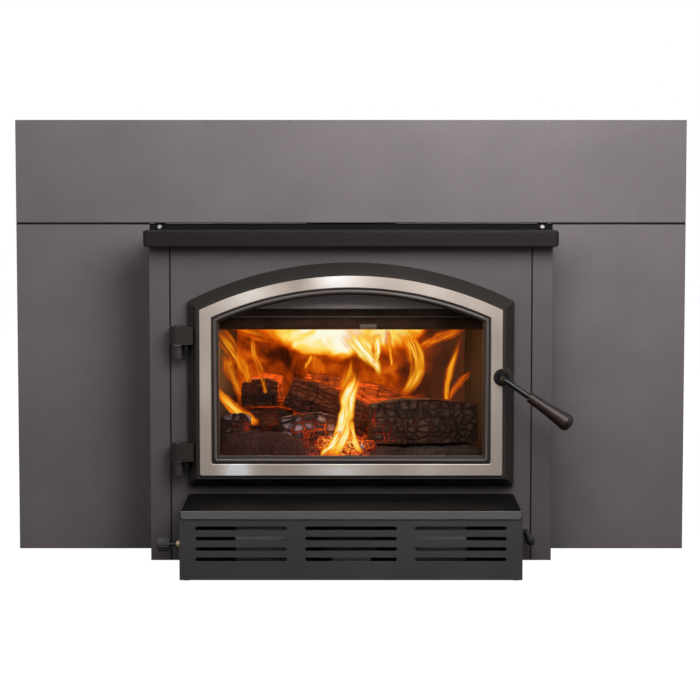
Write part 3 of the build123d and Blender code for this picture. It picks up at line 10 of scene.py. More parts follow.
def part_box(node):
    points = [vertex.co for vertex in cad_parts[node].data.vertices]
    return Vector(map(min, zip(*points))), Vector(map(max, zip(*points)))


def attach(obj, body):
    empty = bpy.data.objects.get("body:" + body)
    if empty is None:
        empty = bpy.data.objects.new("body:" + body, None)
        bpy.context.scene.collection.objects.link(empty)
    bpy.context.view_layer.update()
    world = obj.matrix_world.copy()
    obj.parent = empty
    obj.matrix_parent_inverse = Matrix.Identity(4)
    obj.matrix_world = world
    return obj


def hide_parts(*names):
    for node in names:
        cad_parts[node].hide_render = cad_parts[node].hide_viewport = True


bl_info = {
    "name": "Fireplace insert looks",
    "version": (1, 0, 0),
    "blender": (4, 5, 0),
    "location": "3D View > Sidebar > Fireplace",
    "description": "Dresses the fireplace insert's frame with finishes, a fire and a studio",
    "category": "Object",
}

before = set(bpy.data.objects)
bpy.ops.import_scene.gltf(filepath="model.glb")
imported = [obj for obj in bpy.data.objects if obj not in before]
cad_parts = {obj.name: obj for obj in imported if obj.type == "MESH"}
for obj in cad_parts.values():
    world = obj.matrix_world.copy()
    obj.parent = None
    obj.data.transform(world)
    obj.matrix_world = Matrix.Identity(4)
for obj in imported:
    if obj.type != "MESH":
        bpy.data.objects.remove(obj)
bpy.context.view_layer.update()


def from_screen(red, green, blue):
    """Linear colour of an 8-bit screen colour."""
    channels = []
    for value in (red, green, blue):
        part = value / 255
        linear = part / 12.92 if part <= 0.04045 else ((part + 0.055) / 1.055) ** 2.4
        channels.append(linear)
    return tuple(channels)


def shade(colour, factor, lift=0.0):
    """The colour made lighter or darker."""
    return tuple(min(1, value * factor + lift) for value in colour)


# ---------------------------------------------------------------- shader kit
class Signal:
    """An output socket that takes part in Python expressions."""

    def __init__(self, painter, socket):
        self.painter = painter
        self.socket = socket

    def math(self, operation, *values):
        settings = {"operation": operation}
        return self.painter.node("ShaderNodeMath", settings, dict(enumerate(values)))

    def __add__(self, other):
        return self.math("ADD", self, other)

    def __sub__(self, other):
        return self.math("SUBTRACT", self, other)

    def __rsub__(self, other):
        return self.math("SUBTRACT", other, self)

    def __mul__(self, other):
        return self.math("MULTIPLY", self, other)

    def __truediv__(self, other):
        return self.math("DIVIDE", self, other)

    __radd__ = __add__
    __rmul__ = __mul__

    def power(self, exponent):
        return self.math("POWER", self, exponent)

    def absolute(self):
        return self.math("ABSOLUTE", self)

    def exponent(self):
        return self.math("EXPONENT", self)

    def highest(self, other):
        return self.math("MAXIMUM", self, other)

    def lowest(self, other):
        return self.math("MINIMUM", self, other)

    def step(self, low, high):
        """0 below low, 1 above high and smooth between them."""
        return self.painter.node(
            "ShaderNodeMapRange",
            {"interpolation_type": "SMOOTHSTEP"},
            {"Value": self, "From Min": low, "From Max": high},
        )


class Painter:
    """Builds the nodes of one material, or of one world."""

    def __init__(self, name, store="materials"):
        self.owner = getattr(bpy.data, store).new(name)
        self.owner.use_nodes = True
        self.tree = self.owner.node_tree
        self.tree.nodes.clear()

    def node(self, kind, settings=None, inputs=None, output=0):
        """Adds a node: its settings first, then its sockets' values or links."""
        made = self.tree.nodes.new(kind)
        for key, value in (settings or {}).items():
            if key == "stops":
                self.set_stops(made.color_ramp, value)
            else:
                setattr(made, key, value)
        for key, value in (inputs or {}).items():
            socket = made.inputs[key]
            if isinstance(value, Signal):
                self.tree.links.new(value.socket, socket)
            elif isinstance(value, tuple) and len(value) == 3 and socket.type == "RGBA":
                socket.default_value = (*value, 1.0)
            else:
                socket.default_value = value
        return Signal(self, made.outputs[output]) if len(made.outputs) else None

    def set_stops(self, ramp, stops):
        while len(ramp.elements) < len(stops):
            ramp.elements.new(0.5)
        for element, (place, colour) in zip(ramp.elements, stops):
            element.position = place
            element.color = (*colour, 1.0)

    def arrow(self, operation, inputs):
        """Vector that this vector operation gives."""
        return self.node("ShaderNodeVectorMath", {"operation": operation}, inputs)

    def place(self, stretch=(1, 1, 1), turn=(0, 0, 0), centre=(0, 0, 0)):
        """Object coordinates, shifted, turned and stretched."""
        coordinates = self.node("ShaderNodeTexCoord", output="Object")
        moved = self.arrow("SUBTRACT", {0: coordinates, 1: centre})
        mapping = {"Vector": moved, "Rotation": turn, "Scale": stretch}
        return self.node("ShaderNodeMapping", None, mapping)

    def sheet_place(self, stretch=(1, 1, 1)):
        """The piece's own UV map, stretched."""
        return self.scaled(self.node("ShaderNodeTexCoord", output="UV"), stretch)

    def attribute(self, name):
        """Vector that the piece's own mesh attribute holds."""
        return self.node("ShaderNodeAttribute", {"attribute_name": name}, output="Vector")

    def scaled(self, vector, stretch):
        return self.node("ShaderNodeMapping", None, {"Vector": vector, "Scale": stretch})

    def shifted(self, vector, shift):
        return self.arrow("ADD", {0: vector, 1: shift})

    def axis(self, vector, index):
        return self.node("ShaderNodeSeparateXYZ", None, {0: vector}, output=index)

    def noise(self, vector, scale, detail=3.0, roughness=0.55, distortion=0.0):
        inputs = {
            "Vector": vector, "Scale": scale, "Detail": detail,
            "Roughness": roughness, "Distortion": distortion,
        }
        return self.node("ShaderNodeTexNoise", None, inputs)

    def cells(self, vector, scale, feature="F1", randomness=1.0, output=0):
        """Distances in a cell pattern, or with output 1 a tone for each cell."""
        inputs = {"Vector": vector, "Scale": scale, "Randomness": randomness}
        return self.node("ShaderNodeTexVoronoi", {"feature": feature}, inputs, output)

    def warp(self, vector, scale, amount):
        """The vector pushed about by noise."""
        inputs = {"Vector": vector, "Scale": scale, "Detail": 2.0}
        push = self.node("ShaderNodeTexNoise", None, inputs, output="Color")
        centred = self.arrow("SUBTRACT", {0: push, 1: (0.5, 0.5, 0.5)})
        return self.shifted(vector, self.arrow("SCALE", {0: centred, "Scale": amount}))

    def cracks(self, vector, scale, width, randomness=1.0):
        """1 in the gaps between cells and 0 inside them."""
        edge = self.cells(vector, scale, "DISTANCE_TO_EDGE", randomness)
        return 1 - edge.step(0.0, width)

    def ridges(self, vector, scale, detail=2.0, distortion=0.0):
        """Thin bright threads where noise crosses its middle."""
        waves = self.noise(vector, scale, detail, 0.5, distortion)
        return 1 - (waves * 2 - 1).absolute() * 2.2

    def blend(self, first, second, factor):
        """Colour between two colours."""
        inputs = {0: factor, 6: first, 7: second}
        return self.node("ShaderNodeMix", {"data_type": "RGBA"}, inputs, output=2)

    def ramp(self, factor, stops):
        return self.node("ShaderNodeValToRGB", {"stops": stops}, {0: factor})

    def bump(self, height, strength, distance):
        inputs = {"Height": height, "Strength": strength, "Distance": distance}
        return self.node("ShaderNodeBump", None, inputs)

    def surface(self, **sockets):
        """Principled surface; words in socket names are joined by underscores."""
        named = {key.replace("_", " "): value for key, value in sockets.items()}
        return self.finish_with(self.node("ShaderNodeBsdfPrincipled", None, named))

    def fire(self, colour, alpha=1.0):
        """Surface that only glows."""
        return self.surface(
            Base_Color=(0, 0, 0), Roughness=1.0, Specular_IOR_Level=0.0,
            Emission_Color=colour, Emission_Strength=1.0, Alpha=alpha,
        )

    def finish_with(self, shader, output="ShaderNodeOutputMaterial"):
        self.node(output, None, {"Surface": shader})
        return self.owner


# ---------------------------------------------------------------- finishes
SEAM_SHADE_COLOUR = (0.004, 0.004, 0.004)


def sheet_paint(name, colour, spread=0.10, roughness=0.5, seam_shade=None):
    """Stove paint on sheet steel: fine grain, faint clouds and dust.

    A seam shade is (axis, distance from the middle plane, half width, setback):
    painted shade along the line where two sheets meet, no further back than its setback.
    """
    paint = Painter(name)
    place = paint.place()
    clouds = paint.noise(place, 7.0, 4.0, 0.6)
    grain = paint.noise(place, 900.0, 2.0, 0.5)
    mask = (clouds * 0.55 + grain * 0.45).step(0.32, 0.68)
    base = paint.blend(shade(colour, 1 - spread), shade(colour, 1 + spread), mask)
    if seam_shade:
        direction, distance, half, setback = seam_shade
        off = (paint.axis(place, direction).absolute() - distance).absolute()
        front = 1 - paint.axis(place, 1).step(setback, setback + 0.002)
        # painted shade: the seam is darkened where the gap between two sheets would lie in shade
        line = (1 - off.step(half * 0.7, half * 1.3)) * front
        base = paint.blend(base, SEAM_SHADE_COLOUR, line)
    return paint.surface(
        Base_Color=base,
        Roughness=roughness + (clouds - 0.5) * 0.14,
        Specular_IOR_Level=0.12,
        Normal=paint.bump(grain, 0.06, 0.0004),
    )


def edged_paint(name, colour, lip_highlight_colour, edge_setback):
    """Enamel whose front lip, up to this setback, carries a painted highlight."""
    paint = Painter(name)
    place = paint.place()
    clouds = paint.noise(place, 12.0, 4.0, 0.6)
    grain = paint.noise(place, 900.0, 2.0, 0.5)
    highlit_lip = 1 - paint.axis(place, 1).step(edge_setback, edge_setback + 0.0012)
    base = paint.blend(colour, shade(colour, 1.3), clouds * 0.6 + grain * 0.4)
    # painted highlight: the front lip is blended towards a light grey
    return paint.surface(
        Base_Color=paint.blend(base, lip_highlight_colour, highlit_lip * (0.8 + clouds * 0.3)),
        Roughness=0.5 + (clouds - 0.5) * 0.15,
        Specular_IOR_Level=0.015,
        Normal=paint.bump(grain, 0.05, 0.0004),
    )


def casting_paint(name, colour, roughness=0.55, metallic=0.0, specular=0.16):
    """Matte stove paint on a sand casting: pebbled skin, worn lighter spots."""
    paint = Painter(name)
    place = paint.place()
    skin = paint.noise(place, 420.0, 3.0, 0.6)
    clouds = paint.noise(place, 11.0, 4.0, 0.6)
    worn = clouds.step(0.5, 0.85) * 0.5 + skin * 0.15
    return paint.surface(
        Base_Color=paint.blend(colour, shade(colour, 1.6, 0.002), worn),
        Metallic=metallic,
        Roughness=roughness + (clouds - 0.5) * 0.2,
        Specular_IOR_Level=specular,
        Normal=paint.bump(skin, 0.25, 0.0006),
    )


def brushed_metal(name, colour, roughness):
    """Bare or plated metal with fine brushing across the object."""
    paint = Painter(name)
    lines = paint.noise(paint.place(stretch=(1, 40, 40)), 60.0, 3.0, 0.6)
    clouds = paint.noise(paint.place(), 9.0, 3.0, 0.5)
    mask = lines * 0.5 + clouds * 0.5
    return paint.surface(
        Base_Color=paint.blend(shade(colour, 0.86), shade(colour, 1.12), mask),
        Metallic=1.0,
        Roughness=roughness + (lines - 0.5) * 0.16,
        Normal=paint.bump(lines, 0.06, 0.0003),
    )


# Painted reflections on the door trim, light and dark: across, height, half width, half height,
# level.
TRIM_REFLECTIONS = (
    (-0.025, 0.465, 0.050, 0.030, 0.46),
    (-0.085, 0.458, 0.020, 0.020, -0.22),
    (-0.170, 0.438, 0.050, 0.030, 0.26),
    (-0.185, 0.150, 0.024, 0.024, 0.62),
    (-0.020, 0.150, 0.050, 0.024, 0.40),
    (0.120, 0.150, 0.040, 0.024, 0.14),
    (0.130, 0.450, 0.040, 0.030, 0.12),
    (0.236, 0.360, 0.020, 0.050, -0.14),
    (0.236, 0.210, 0.020, 0.070, -0.10),
    (-0.236, 0.300, 0.020, 0.050, 0.12),
)
TRIM_UPRIGHTS = (0.205, 0.222)  # where the band's brushing turns upright


def trim_nickel(colour):
    """Brushed nickel band with painted reflections: soft light and dark patches of studio light
    painted into its colour.
    """
    paint = Painter("brushed_nickel")
    place = paint.place()
    across = paint.axis(place, 0)
    up = paint.axis(place, 2)
    lines = paint.noise(paint.place(stretch=(1.0, 30.0, 30.0)), 70.0, 3.0, 0.6)
    uprights = paint.noise(paint.place(stretch=(30.0, 30.0, 1.0)), 70.0, 3.0, 0.6)
    side = across.absolute().step(*TRIM_UPRIGHTS)
    brushing = lines * (1 - side) + uprights * side
    clouds = paint.noise(paint.place(stretch=(1, 1, 0.7)), 9.0, 3.0, 0.5)
    # painted reflection: blotchy brightness plus the listed patches, mapped to colours up to
    # near white
    level = clouds * 0.32 + brushing * 0.10 + 0.30
    for where, height, wide, tall, gain in TRIM_REFLECTIONS:
        near = ((across - where) / wide).power(2.0) + ((up - height) / tall).power(2.0)
        level = level + (near * -1).exponent() * gain
    stops = (
        (0.0, from_screen(92, 84, 80)),
        (0.3, shade(colour, 0.72)),
        (0.55, colour),
        (0.8, from_screen(226, 216, 208)),
        (1.0, from_screen(250, 250, 252)),
    )
    return paint.surface(
        Base_Color=paint.ramp(level, stops),
        Metallic=0.75,
        Roughness=0.42 + (brushing - 0.5) * 0.16,
        Normal=paint.bump(brushing, 0.05, 0.0003),
    )


def turned_wood(dark, light, lever, centre):
    """Dark stained turned hardwood: long grain along the grip."""
    paint = Painter("stained_hardwood")
    turn = Vector(lever).normalized().rotation_difference(Vector((1, 0, 0))).to_euler()
    stretched = paint.scaled(paint.place(turn=tuple(turn), centre=centre), (0.14, 1, 1))
    grain = paint.noise(paint.warp(stretched, 40.0, 0.004), 320.0, 4.0, 0.65)
    pores = paint.noise(stretched, 1500.0, 2.0, 0.5)
    return paint.surface(
        Base_Color=paint.blend(dark, light, grain.step(0.35, 0.7) * 0.8 + pores * 0.2),
        Roughness=0.42 + (grain - 0.5) * 0.2,
        Specular_IOR_Level=0.25,
        Coat_Weight=0.08,
        Coat_Roughness=0.2,
        Normal=paint.bump(grain * 0.7 + pores * 0.3, 0.25, 0.0004),
    )


def window_glass(tint):
    """Ceramic glass: nearly clear, with a thin film of smoke at its sides."""
    paint = Painter("ceramic_glass")
    place = paint.place()
    haze = paint.noise(place, 9.0, 3.0, 0.6)
    edge = paint.axis(place, 0).absolute().step(0.14, 0.23)
    return paint.surface(
        Base_Color=paint.blend(tint, shade(tint, 1.8), haze.step(0.4, 0.8)),
        Roughness=0.06,
        Specular_IOR_Level=0.05,
        Alpha=0.012 + edge * 0.02 + haze.step(0.45, 0.8) * 0.012,
    )


def refractory(name, colour, soot):
    """Firebrick: sandy body, small pits, soot clouds."""
    paint = Painter(name)
    place = paint.place()
    sand = paint.noise(place, 420.0, 4.0, 0.7)
    clouds = paint.noise(place, 18.0, 4.0, 0.65)
    pits = paint.cells(place, 260.0).step(0.0, 0.35)
    return paint.surface(
        Base_Color=paint.blend(colour, soot, clouds.step(0.3, 0.7)),
        Roughness=0.92,
        Normal=paint.bump(sand * 0.6 + pits * 0.4, 0.5, 0.0012),
    )


def edge_lit(name, colour, span, band):
    """Sooty lining with one painted highlight, a light patch standing in for a glint of light.

    The span is (middle, half width) across and the band (middle, half height).
    """
    paint = Painter(name)
    place = paint.place()
    sand = paint.noise(place, 300.0, 4.0, 0.7)
    clouds = paint.noise(place, 16.0, 3.0, 0.6)
    off_side = (paint.axis(place, 0) - span[0]).absolute()
    off_line = (paint.axis(place, 2) - band[0]).absolute()
    inside = 1 - off_side.step(span[1], span[1] + 0.004)
    painted_glint = inside * (1 - off_line.step(band[1] * 0.6, band[1] * 1.4))
    mask = (clouds * 0.6 + sand * 0.4).step(0.35, 0.65)
    skin = paint.blend(shade(colour, 0.5), colour, mask)
    # painted highlight: a light patch standing in for a glint of light
    glint_colour = from_screen(178, 164, 152)
    return paint.surface(
        Base_Color=paint.blend(skin, glint_colour, painted_glint * (0.45 + sand * 0.4)),
        Roughness=0.85 + (sand - 0.5) * 0.1,
        Specular_IOR_Level=0.1,
        Normal=paint.bump(sand, 0.3, 0.0008),
    )


def woven_fibre(name, colour):
    """Woven glass-fibre tape and rope."""
    paint = Painter(name)
    place = paint.place(turn=(0.6, 0.78, 0.5))
    inputs = {"Vector": place, "Scale": 190.0, "Distortion": 1.5, "Detail": 2.0}
    strands, cross = (
        paint.node("ShaderNodeTexWave", {"bands_direction": direction}, inputs)
        for direction in "XY"
    )
    weave = strands.highest(cross)
    return paint.surface(
        Base_Color=paint.blend(shade(colour, 0.45), colour, weave),
        Roughness=0.95,
        Sheen_Weight=0.3,
        Normal=paint.bump(weave, 0.7, 0.0008),
    )


def rubber(name, colour):
    """Dusty black rubber."""
    paint = Painter(name)
    place = paint.place()
    skin = paint.noise(place, 700.0, 2.0, 0.5)
    dust = paint.noise(place, 60.0, 3.0, 0.6)
    return paint.surface(
        Base_Color=paint.blend(colour, shade(colour, 2.2), dust.step(0.45, 0.8)),
        Roughness=0.75 + (dust - 0.5) * 0.2,
        Specular_IOR_Level=0.3,
        Normal=paint.bump(skin, 0.15, 0.0003),
    )


def moulding(name, colour, roughness=0.32):
    """Glossy heat-proof moulding."""
    paint = Painter(name)
    place = paint.place()
    haze = paint.noise(place, 160.0, 3.0, 0.5)
    skin = paint.noise(place, 1500.0, 2.0, 0.5)
    return paint.surface(
        Base_Color=paint.blend(colour, shade(colour, 1.8, 0.002), haze.step(0.4, 0.8)),
        Roughness=roughness + (haze - 0.5) * 0.2,
        Specular_IOR_Level=0.25,
        Normal=paint.bump(skin, 0.08, 0.0002),
    )


# ---------------------------------------------------------------- fire's finishes
EMBER_STOPS = (
    (0.0, (0, 0, 0)),
    (0.12, (0.02, 0.001, 0.0)),
    (0.38, (0.42, 0.03, 0.001)),
    (0.68, (0.95, 0.22, 0.01)),
    (1.0, (1.0, 0.62, 0.12)),
)
COAL_STOPS = (
    (0.0, (0, 0, 0)),
    (0.15, (0.03, 0.001, 0.0)),
    (0.42, (0.7, 0.06, 0.004)),
    (1.0, (1.0, 0.45, 0.08)),
)
# Colours of fire by its heat, from its dim edges to its core.
FLAME_STOPS = (
    (0.00, from_screen(60, 14, 2)),
    (0.18, from_screen(150, 44, 2)),
    (0.40, from_screen(226, 92, 4)),
    (0.62, from_screen(252, 168, 26)),
    (0.82, from_screen(255, 226, 104)),
    (1.00, from_screen(255, 252, 226)),
)
HAZE_STOPS = (
    (0.0, from_screen(16, 6, 4)),
    (0.2, from_screen(72, 22, 4)),
    (0.5, from_screen(168, 58, 3)),
    (0.78, from_screen(226, 104, 8)),
    (1.0, from_screen(250, 160, 34)),
)


def charred_wood(name, colours, shares, blocks):
    """Burning split wood: blocky char, ash on its blocks, glow and painted shade in its cracks.

    The mesh holds the wood's own directions in "wood", and in "burn" its
    cracks, its ridges and its heat. The colours are those of char, ash and
    bare wood on a screen. The shares are those of ash, bare wood, glow and
    crack lines; blocks are how many blocks a metre has each way.
    """
    char, ash, bare = (from_screen(*colour) for colour in colours)
    ash_share, bare_share, glow_share, line_share = shares
    paint = Painter(name)
    wood = paint.attribute("wood")
    burn = paint.attribute("burn")
    crack, ridge, heat = (paint.axis(burn, index) for index in range(3))
    bent = paint.warp(wood, 26.0, 0.014)
    grain = paint.noise(paint.scaled(bent, (0.1, 1.0, 1.0)), 230.0, 4.0, 0.62)
    lattice = paint.scaled(bent, blocks)
    edge = paint.cells(lattice, 1.0, "DISTANCE_TO_EDGE", 0.4)
    tone = paint.axis(paint.cells(lattice, 1.0, "F1", 0.4, output=1), 0)
    fine = paint.cracks(paint.warp(wood, 60.0, 0.006), 210.0, 0.10)
    dust = paint.noise(wood, 95.0, 5.0, 0.72)
    clouds = paint.noise(wood, 30.0, 3.0, 0.6)
    gap = (1 - (edge + (dust - 0.5) * 0.16).step(0.0, 0.09)) * line_share
    char_mask = dust * 0.5 + grain * 0.3 + tone * 0.5 - 0.2
    burnt = paint.blend(char, shade(char, 2.4), char_mask)
    on_top = edge.step(0.08, 0.35)
    ash_mask = (dust + clouds + tone * 0.35 - 1.15).step(-0.2, 0.2) * on_top * ash_share
    ashy = paint.blend(burnt, ash, ash_mask)
    fresh = paint.blend(shade(bare, 0.28), bare, grain.step(0.34, 0.64))
    skin = paint.blend(ashy, fresh, clouds.step(0.25, 0.55) * bare_share)
    # painted shade: the cracks and the gaps between blocks are blended to near black
    depth = gap.highest(fine * 0.45).highest(crack)
    glow = (gap * 0.55 + crack * 0.5 + ridge * 0.35 + fine * 0.12) * heat * glow_share
    relief = edge.step(0.0, 0.28) * (0.7 * line_share) + grain * 0.3 + (1 - fine) * 0.1
    return paint.surface(
        Base_Color=paint.blend(skin, (0.002, 0.0015, 0.0012), depth),
        Roughness=0.9 + (dust - 0.5) * 0.1,
        Specular_IOR_Level=0.15,
        Emission_Color=paint.ramp(glow, EMBER_STOPS),
        Emission_Strength=1.0,
        Normal=paint.bump(relief, 0.9, 0.0028),
    )


def ash_and_coals(ash, char):
    """Loose ash with dark crumbs; "burn" holds where coals glow in it."""
    paint = Painter("ash_and_coals")
    place = paint.place()
    bent = paint.warp(place, 60.0, 0.008)
    crumbs = paint.cells(bent, 120.0, "DISTANCE_TO_EDGE")
    clouds = paint.noise(place, 18.0, 4.0, 0.6)
    fine = paint.noise(place, 300.0, 4.0, 0.72)
    spots = paint.noise(place, 64.0, 3.0, 0.5)
    heat = paint.axis(paint.attribute("burn"), 2)
    base = paint.blend(char, ash, (clouds * 0.5 + fine * 0.5).step(0.4, 0.64))
    shadow = (1 - crumbs.step(0.0, 0.12)) * 0.7
    glow = heat * (spots * 1.5 + (1 - crumbs.step(0.0, 0.2)) * 0.4 - 0.45)
    return paint.surface(
        Base_Color=paint.blend(base, (0.003, 0.002, 0.002), shadow),
        Roughness=0.95,
        Specular_IOR_Level=0.2,
        Emission_Color=paint.ramp(glow, COAL_STOPS),
        Emission_Strength=1.0,
        Normal=paint.bump(crumbs * 0.5 + fine * 0.5, 0.8, 0.003),
    )


def flame_finish(name, seed, heat, cover, threads, softness):
    """Flame sheet: soft edges, threads along it and tongues at its ends."""
    paint = Painter(name)
    flat = paint.sheet_place()
    across = paint.axis(flat, 0) * 2 - 1
    along = paint.axis(flat, 1)
    slow = paint.shifted(paint.sheet_place((0.6, 2.2, 1.0)), (seed, 0, 0))
    drift = paint.noise(slow, 1.6, 2.0)
    bent = (across + (drift - 0.5) * 1.3).absolute()
    body = (1 - bent.power(2.0)).highest(0.0).power(1.4)
    quick = paint.shifted(paint.sheet_place((threads, 1.5, 1.0)), (seed * 1.7, seed, 0))
    flow = paint.warp(quick, 0.9, 0.8)
    strands = paint.ridges(flow, 1.2).highest(0.0)
    lumps = paint.noise(flow, 0.8, 3.0, 0.55)
    tips = along.step(0.0, 0.3) * (1 - along.step(0.72, 1.0))
    glow = body * (lumps.step(0.3, 0.7) * 0.6 + strands * 0.55 + 0.1) * tips
    level = ((glow * 0.5 + 0.25) * heat).lowest(1.0)
    alpha = (glow.step(0.0, softness) * cover).lowest(1.0)
    return paint.fire(paint.ramp(level, FLAME_STOPS), alpha)


CROWN_START = (4.2, 4.2, 0)  # where in the noise the crown's pattern lies


def crown_finish(name):
    """Rolling fire under the baffle: white-hot middle, ragged orange edges."""
    paint = Painter(name)
    flat = paint.sheet_place()
    across = paint.axis(flat, 0)
    up = paint.axis(flat, 1)
    wide = paint.shifted(paint.sheet_place((3.4, 1.0, 1.0)), CROWN_START)
    rolls = paint.warp(wide, 1.1, 0.9)
    swirl = paint.ridges(rolls, 1.5, 3.0, 0.6).highest(0.0)
    lumps = paint.noise(rolls, 1.3, 3.0, 0.6)
    middle = 1 - ((across - 0.53).absolute() * 2.3).power(2.0)
    depth = up * 1.25 + middle * 0.62 - 0.66 + (lumps - 0.5) * 0.85
    ends = across.step(0.0, 0.1) * (1 - across.step(0.9, 1.0))
    glow = depth.step(0.0, 0.62) * ends
    core = 0.22 + middle.highest(0.0) * 0.42 + up * 0.1
    level = (glow * core + (swirl * 0.36 + (lumps - 0.5) * 0.7) * glow).lowest(1.0)
    return paint.fire(paint.ramp(level, FLAME_STOPS), glow.step(0.0, 0.75))


def haze_finish(name):
    """Glowing smoke behind the wood: streaked orange left; brown right, where the smoke glows as
    painted light of the fire.
    """
    paint = Painter(name)
    flat = paint.sheet_place()
    across = paint.axis(flat, 0)
    up = paint.axis(flat, 1)
    flow = paint.warp(paint.sheet_place((4.0, 1.5, 1.0)), 1.4, 1.9)
    streaks = paint.noise(flow, 1.4, 4.0, 0.6)
    threads = paint.warp(paint.sheet_place((4.0, 1.6, 1.0)), 1.4, 1.6)
    wisps = paint.ridges(threads, 1.6).highest(0.0)
    left = 1 - across.step(0.62, 0.98) * 0.8
    holes = paint.noise(paint.sheet_place((3.2, 1.6, 1.0)), 1.7, 2.0).step(0.36, 0.6)
    glow = streaks.step(0.3, 0.74) * 0.7 + wisps * 0.34
    glow = glow * left * (0.56 + up * 0.75) * (0.55 + holes * 0.5)
    # painted light: brown smoke that glows as if lit by the fire
    smoke = across.step(0.6, 0.95) * (0.4 + streaks * 0.5)
    return paint.fire(
        paint.blend(paint.ramp(glow, HAZE_STOPS), from_screen(84, 46, 26), smoke)
    )


# ---------------------------------------------------------------- helpers
def select_only(piece=None):
    bpy.ops.object.select_all(action="DESELECT")
    if piece:
        piece.select_set(True)
        bpy.context.view_layer.objects.active = piece


def name_both(piece, name):
    piece.name = name
    piece.data.name = name


def dress(material, *nodes):
    """Gives CAD nodes this material."""
    for name in nodes:
        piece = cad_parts[name]
        piece.data.materials.clear()
        piece.data.materials.append(material)


def active_piece(name):
    """The object an operator has just made, named and with its place applied."""
    piece = bpy.context.active_object
    name_both(piece, name)
    bpy.ops.object.transform_apply(location=True, rotation=True, scale=True)
    return piece


def copy_of_node(node, name):
    """A copy of a CAD node with its doubles merged, ready to be shaped."""
    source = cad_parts[node]
    piece = source.copy()
    piece.data = source.data.copy()
    piece.parent = None
    bpy.context.collection.objects.link(piece)
    name_both(piece, name)
    select_only(piece)
    bpy.ops.object.mode_set(mode="EDIT")
    bpy.ops.mesh.select_all(action="SELECT")
    bpy.ops.mesh.remove_doubles(threshold=0.00002)
    bpy.ops.mesh.normals_make_consistent(inside=False)
    bpy.ops.object.mode_set(mode="OBJECT")
    return piece


def add_modifier(piece, kind, name, **settings):
    made = piece.modifiers.new(name, kind)
    for key, value in settings.items():
        setattr(made, key, value)


def apply_all(piece):
    select_only(piece)
    for modifier in list(piece.modifiers):
        bpy.ops.object.modifier_apply(modifier=modifier.name)


def smooth_under(piece, degrees):
    """Smooth shading, but for edges that turn by more than this."""
    select_only(piece)
    bpy.ops.object.shade_smooth_by_angle(angle=math.radians(degrees))


def middle_of(piece):
    """Middle of the piece's box."""
    spots = [vertex.co for vertex in piece.data.vertices]
    low = Vector([min(spot[axis] for spot in spots) for axis in range(3)])
    high = Vector([max(spot[axis] for spot in spots) for axis in range(3)])
    return (low + high) / 2


def bell(value, middle, reach, sharpness=2):
    """1 at the middle, falling to nothing past its reach."""
    return math.exp(-(((value - middle) / reach) ** sharpness))


def point_lamp(name, place, radius, colour, power):
    """Soft round lamp."""
    data = bpy.data.lights.new(name, "POINT")
    data.energy = power
    data.color = colour
    data.shadow_soft_size = radius
    lamp = bpy.data.objects.new(name, data)
    lamp.location = place
    bpy.context.collection.objects.link(lamp)
    return lamp


def hand_over(piece, material, body, replaced=None):
    """Finish, body and replaced node of a new piece."""
    piece.data.materials.clear()
    piece.data.materials.append(material)
    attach(piece, body)
    if replaced:
        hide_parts(replaced)


# ---------------------------------------------------------------- settings
class StoveColours(bpy.types.PropertyGroup):
    """Colours of the insert's finishes."""

    surround: bpy.props.FloatVectorProperty(
        name="Surround", description="Paint on the three surround panels",
        subtype="COLOR", default=from_screen(112, 105, 107),
    )
    body: bpy.props.FloatVectorProperty(
        name="Body", description="Paint on the jacket and the face plate",
        subtype="COLOR", default=from_screen(92, 85, 87),
    )
    black: bpy.props.FloatVectorProperty(
        name="Door frame", description="Paint on the door's casting",
        subtype="COLOR", default=from_screen(42, 38, 36),
    )
    blower: bpy.props.FloatVectorProperty(
        name="Fan housing", description="Paint on the fan housing's cover",
        subtype="COLOR", default=from_screen(68, 66, 68),
    )
    nickel: bpy.props.FloatVectorProperty(
        name="Door trim", description="Brushed plate on the door's trim",
        subtype="COLOR", default=from_screen(188, 174, 163),
    )
    wood: bpy.props.FloatVectorProperty(
        name="Grip", description="Stain on the turned grip",
        subtype="COLOR", default=from_screen(33, 18, 15),
    )


class BeadSettings(bpy.types.PropertyGroup):
    """Sizes of the door and of the bead around its window."""

    door_width: bpy.props.FloatProperty(
        name="Door width", description="Width of the door casting without its hinge lugs",
        unit="LENGTH", default=0.530,
    )
    arch_rise: bpy.props.FloatProperty(
        name="Arch rise", description="Height of the door's arch over its corners",
        unit="LENGTH", default=0.063,
    )
    trim_thickness: bpy.props.FloatProperty(
        name="Trim thickness", description="Thickness of the plated trim on the door's front",
        unit="LENGTH", default=0.003,
    )
    inset: bpy.props.FloatProperty(
        name="Inset", description="From the door's outline to the bead's middle",
        unit="LENGTH", default=0.0453,
    )
    radius: bpy.props.FloatProperty(
        name="Radius", description="Radius of the bead", unit="LENGTH", default=0.0029
    )
    corner: bpy.props.FloatProperty(
        name="Corner", description="Cut of the bead's lower corners",
        unit="LENGTH", default=0.003,
    )


class FireSettings(bpy.types.PropertyGroup):
    """Sizes and strength of the fire."""

    wood_grain: bpy.props.FloatProperty(
        name="Wood detail", description="Edge length of the firewood's surface mesh",
        unit="LENGTH", default=0.0021,
    )
    char_depth: bpy.props.FloatProperty(
        name="Char depth", description="How deep the char's cracks are",
        unit="LENGTH", default=0.0032,
    )
    glow_power: bpy.props.FloatProperty(
        name="Glow", description="Power that the shares of the firebox's warm lamps are of",
        unit="POWER", default=0.8,
    )


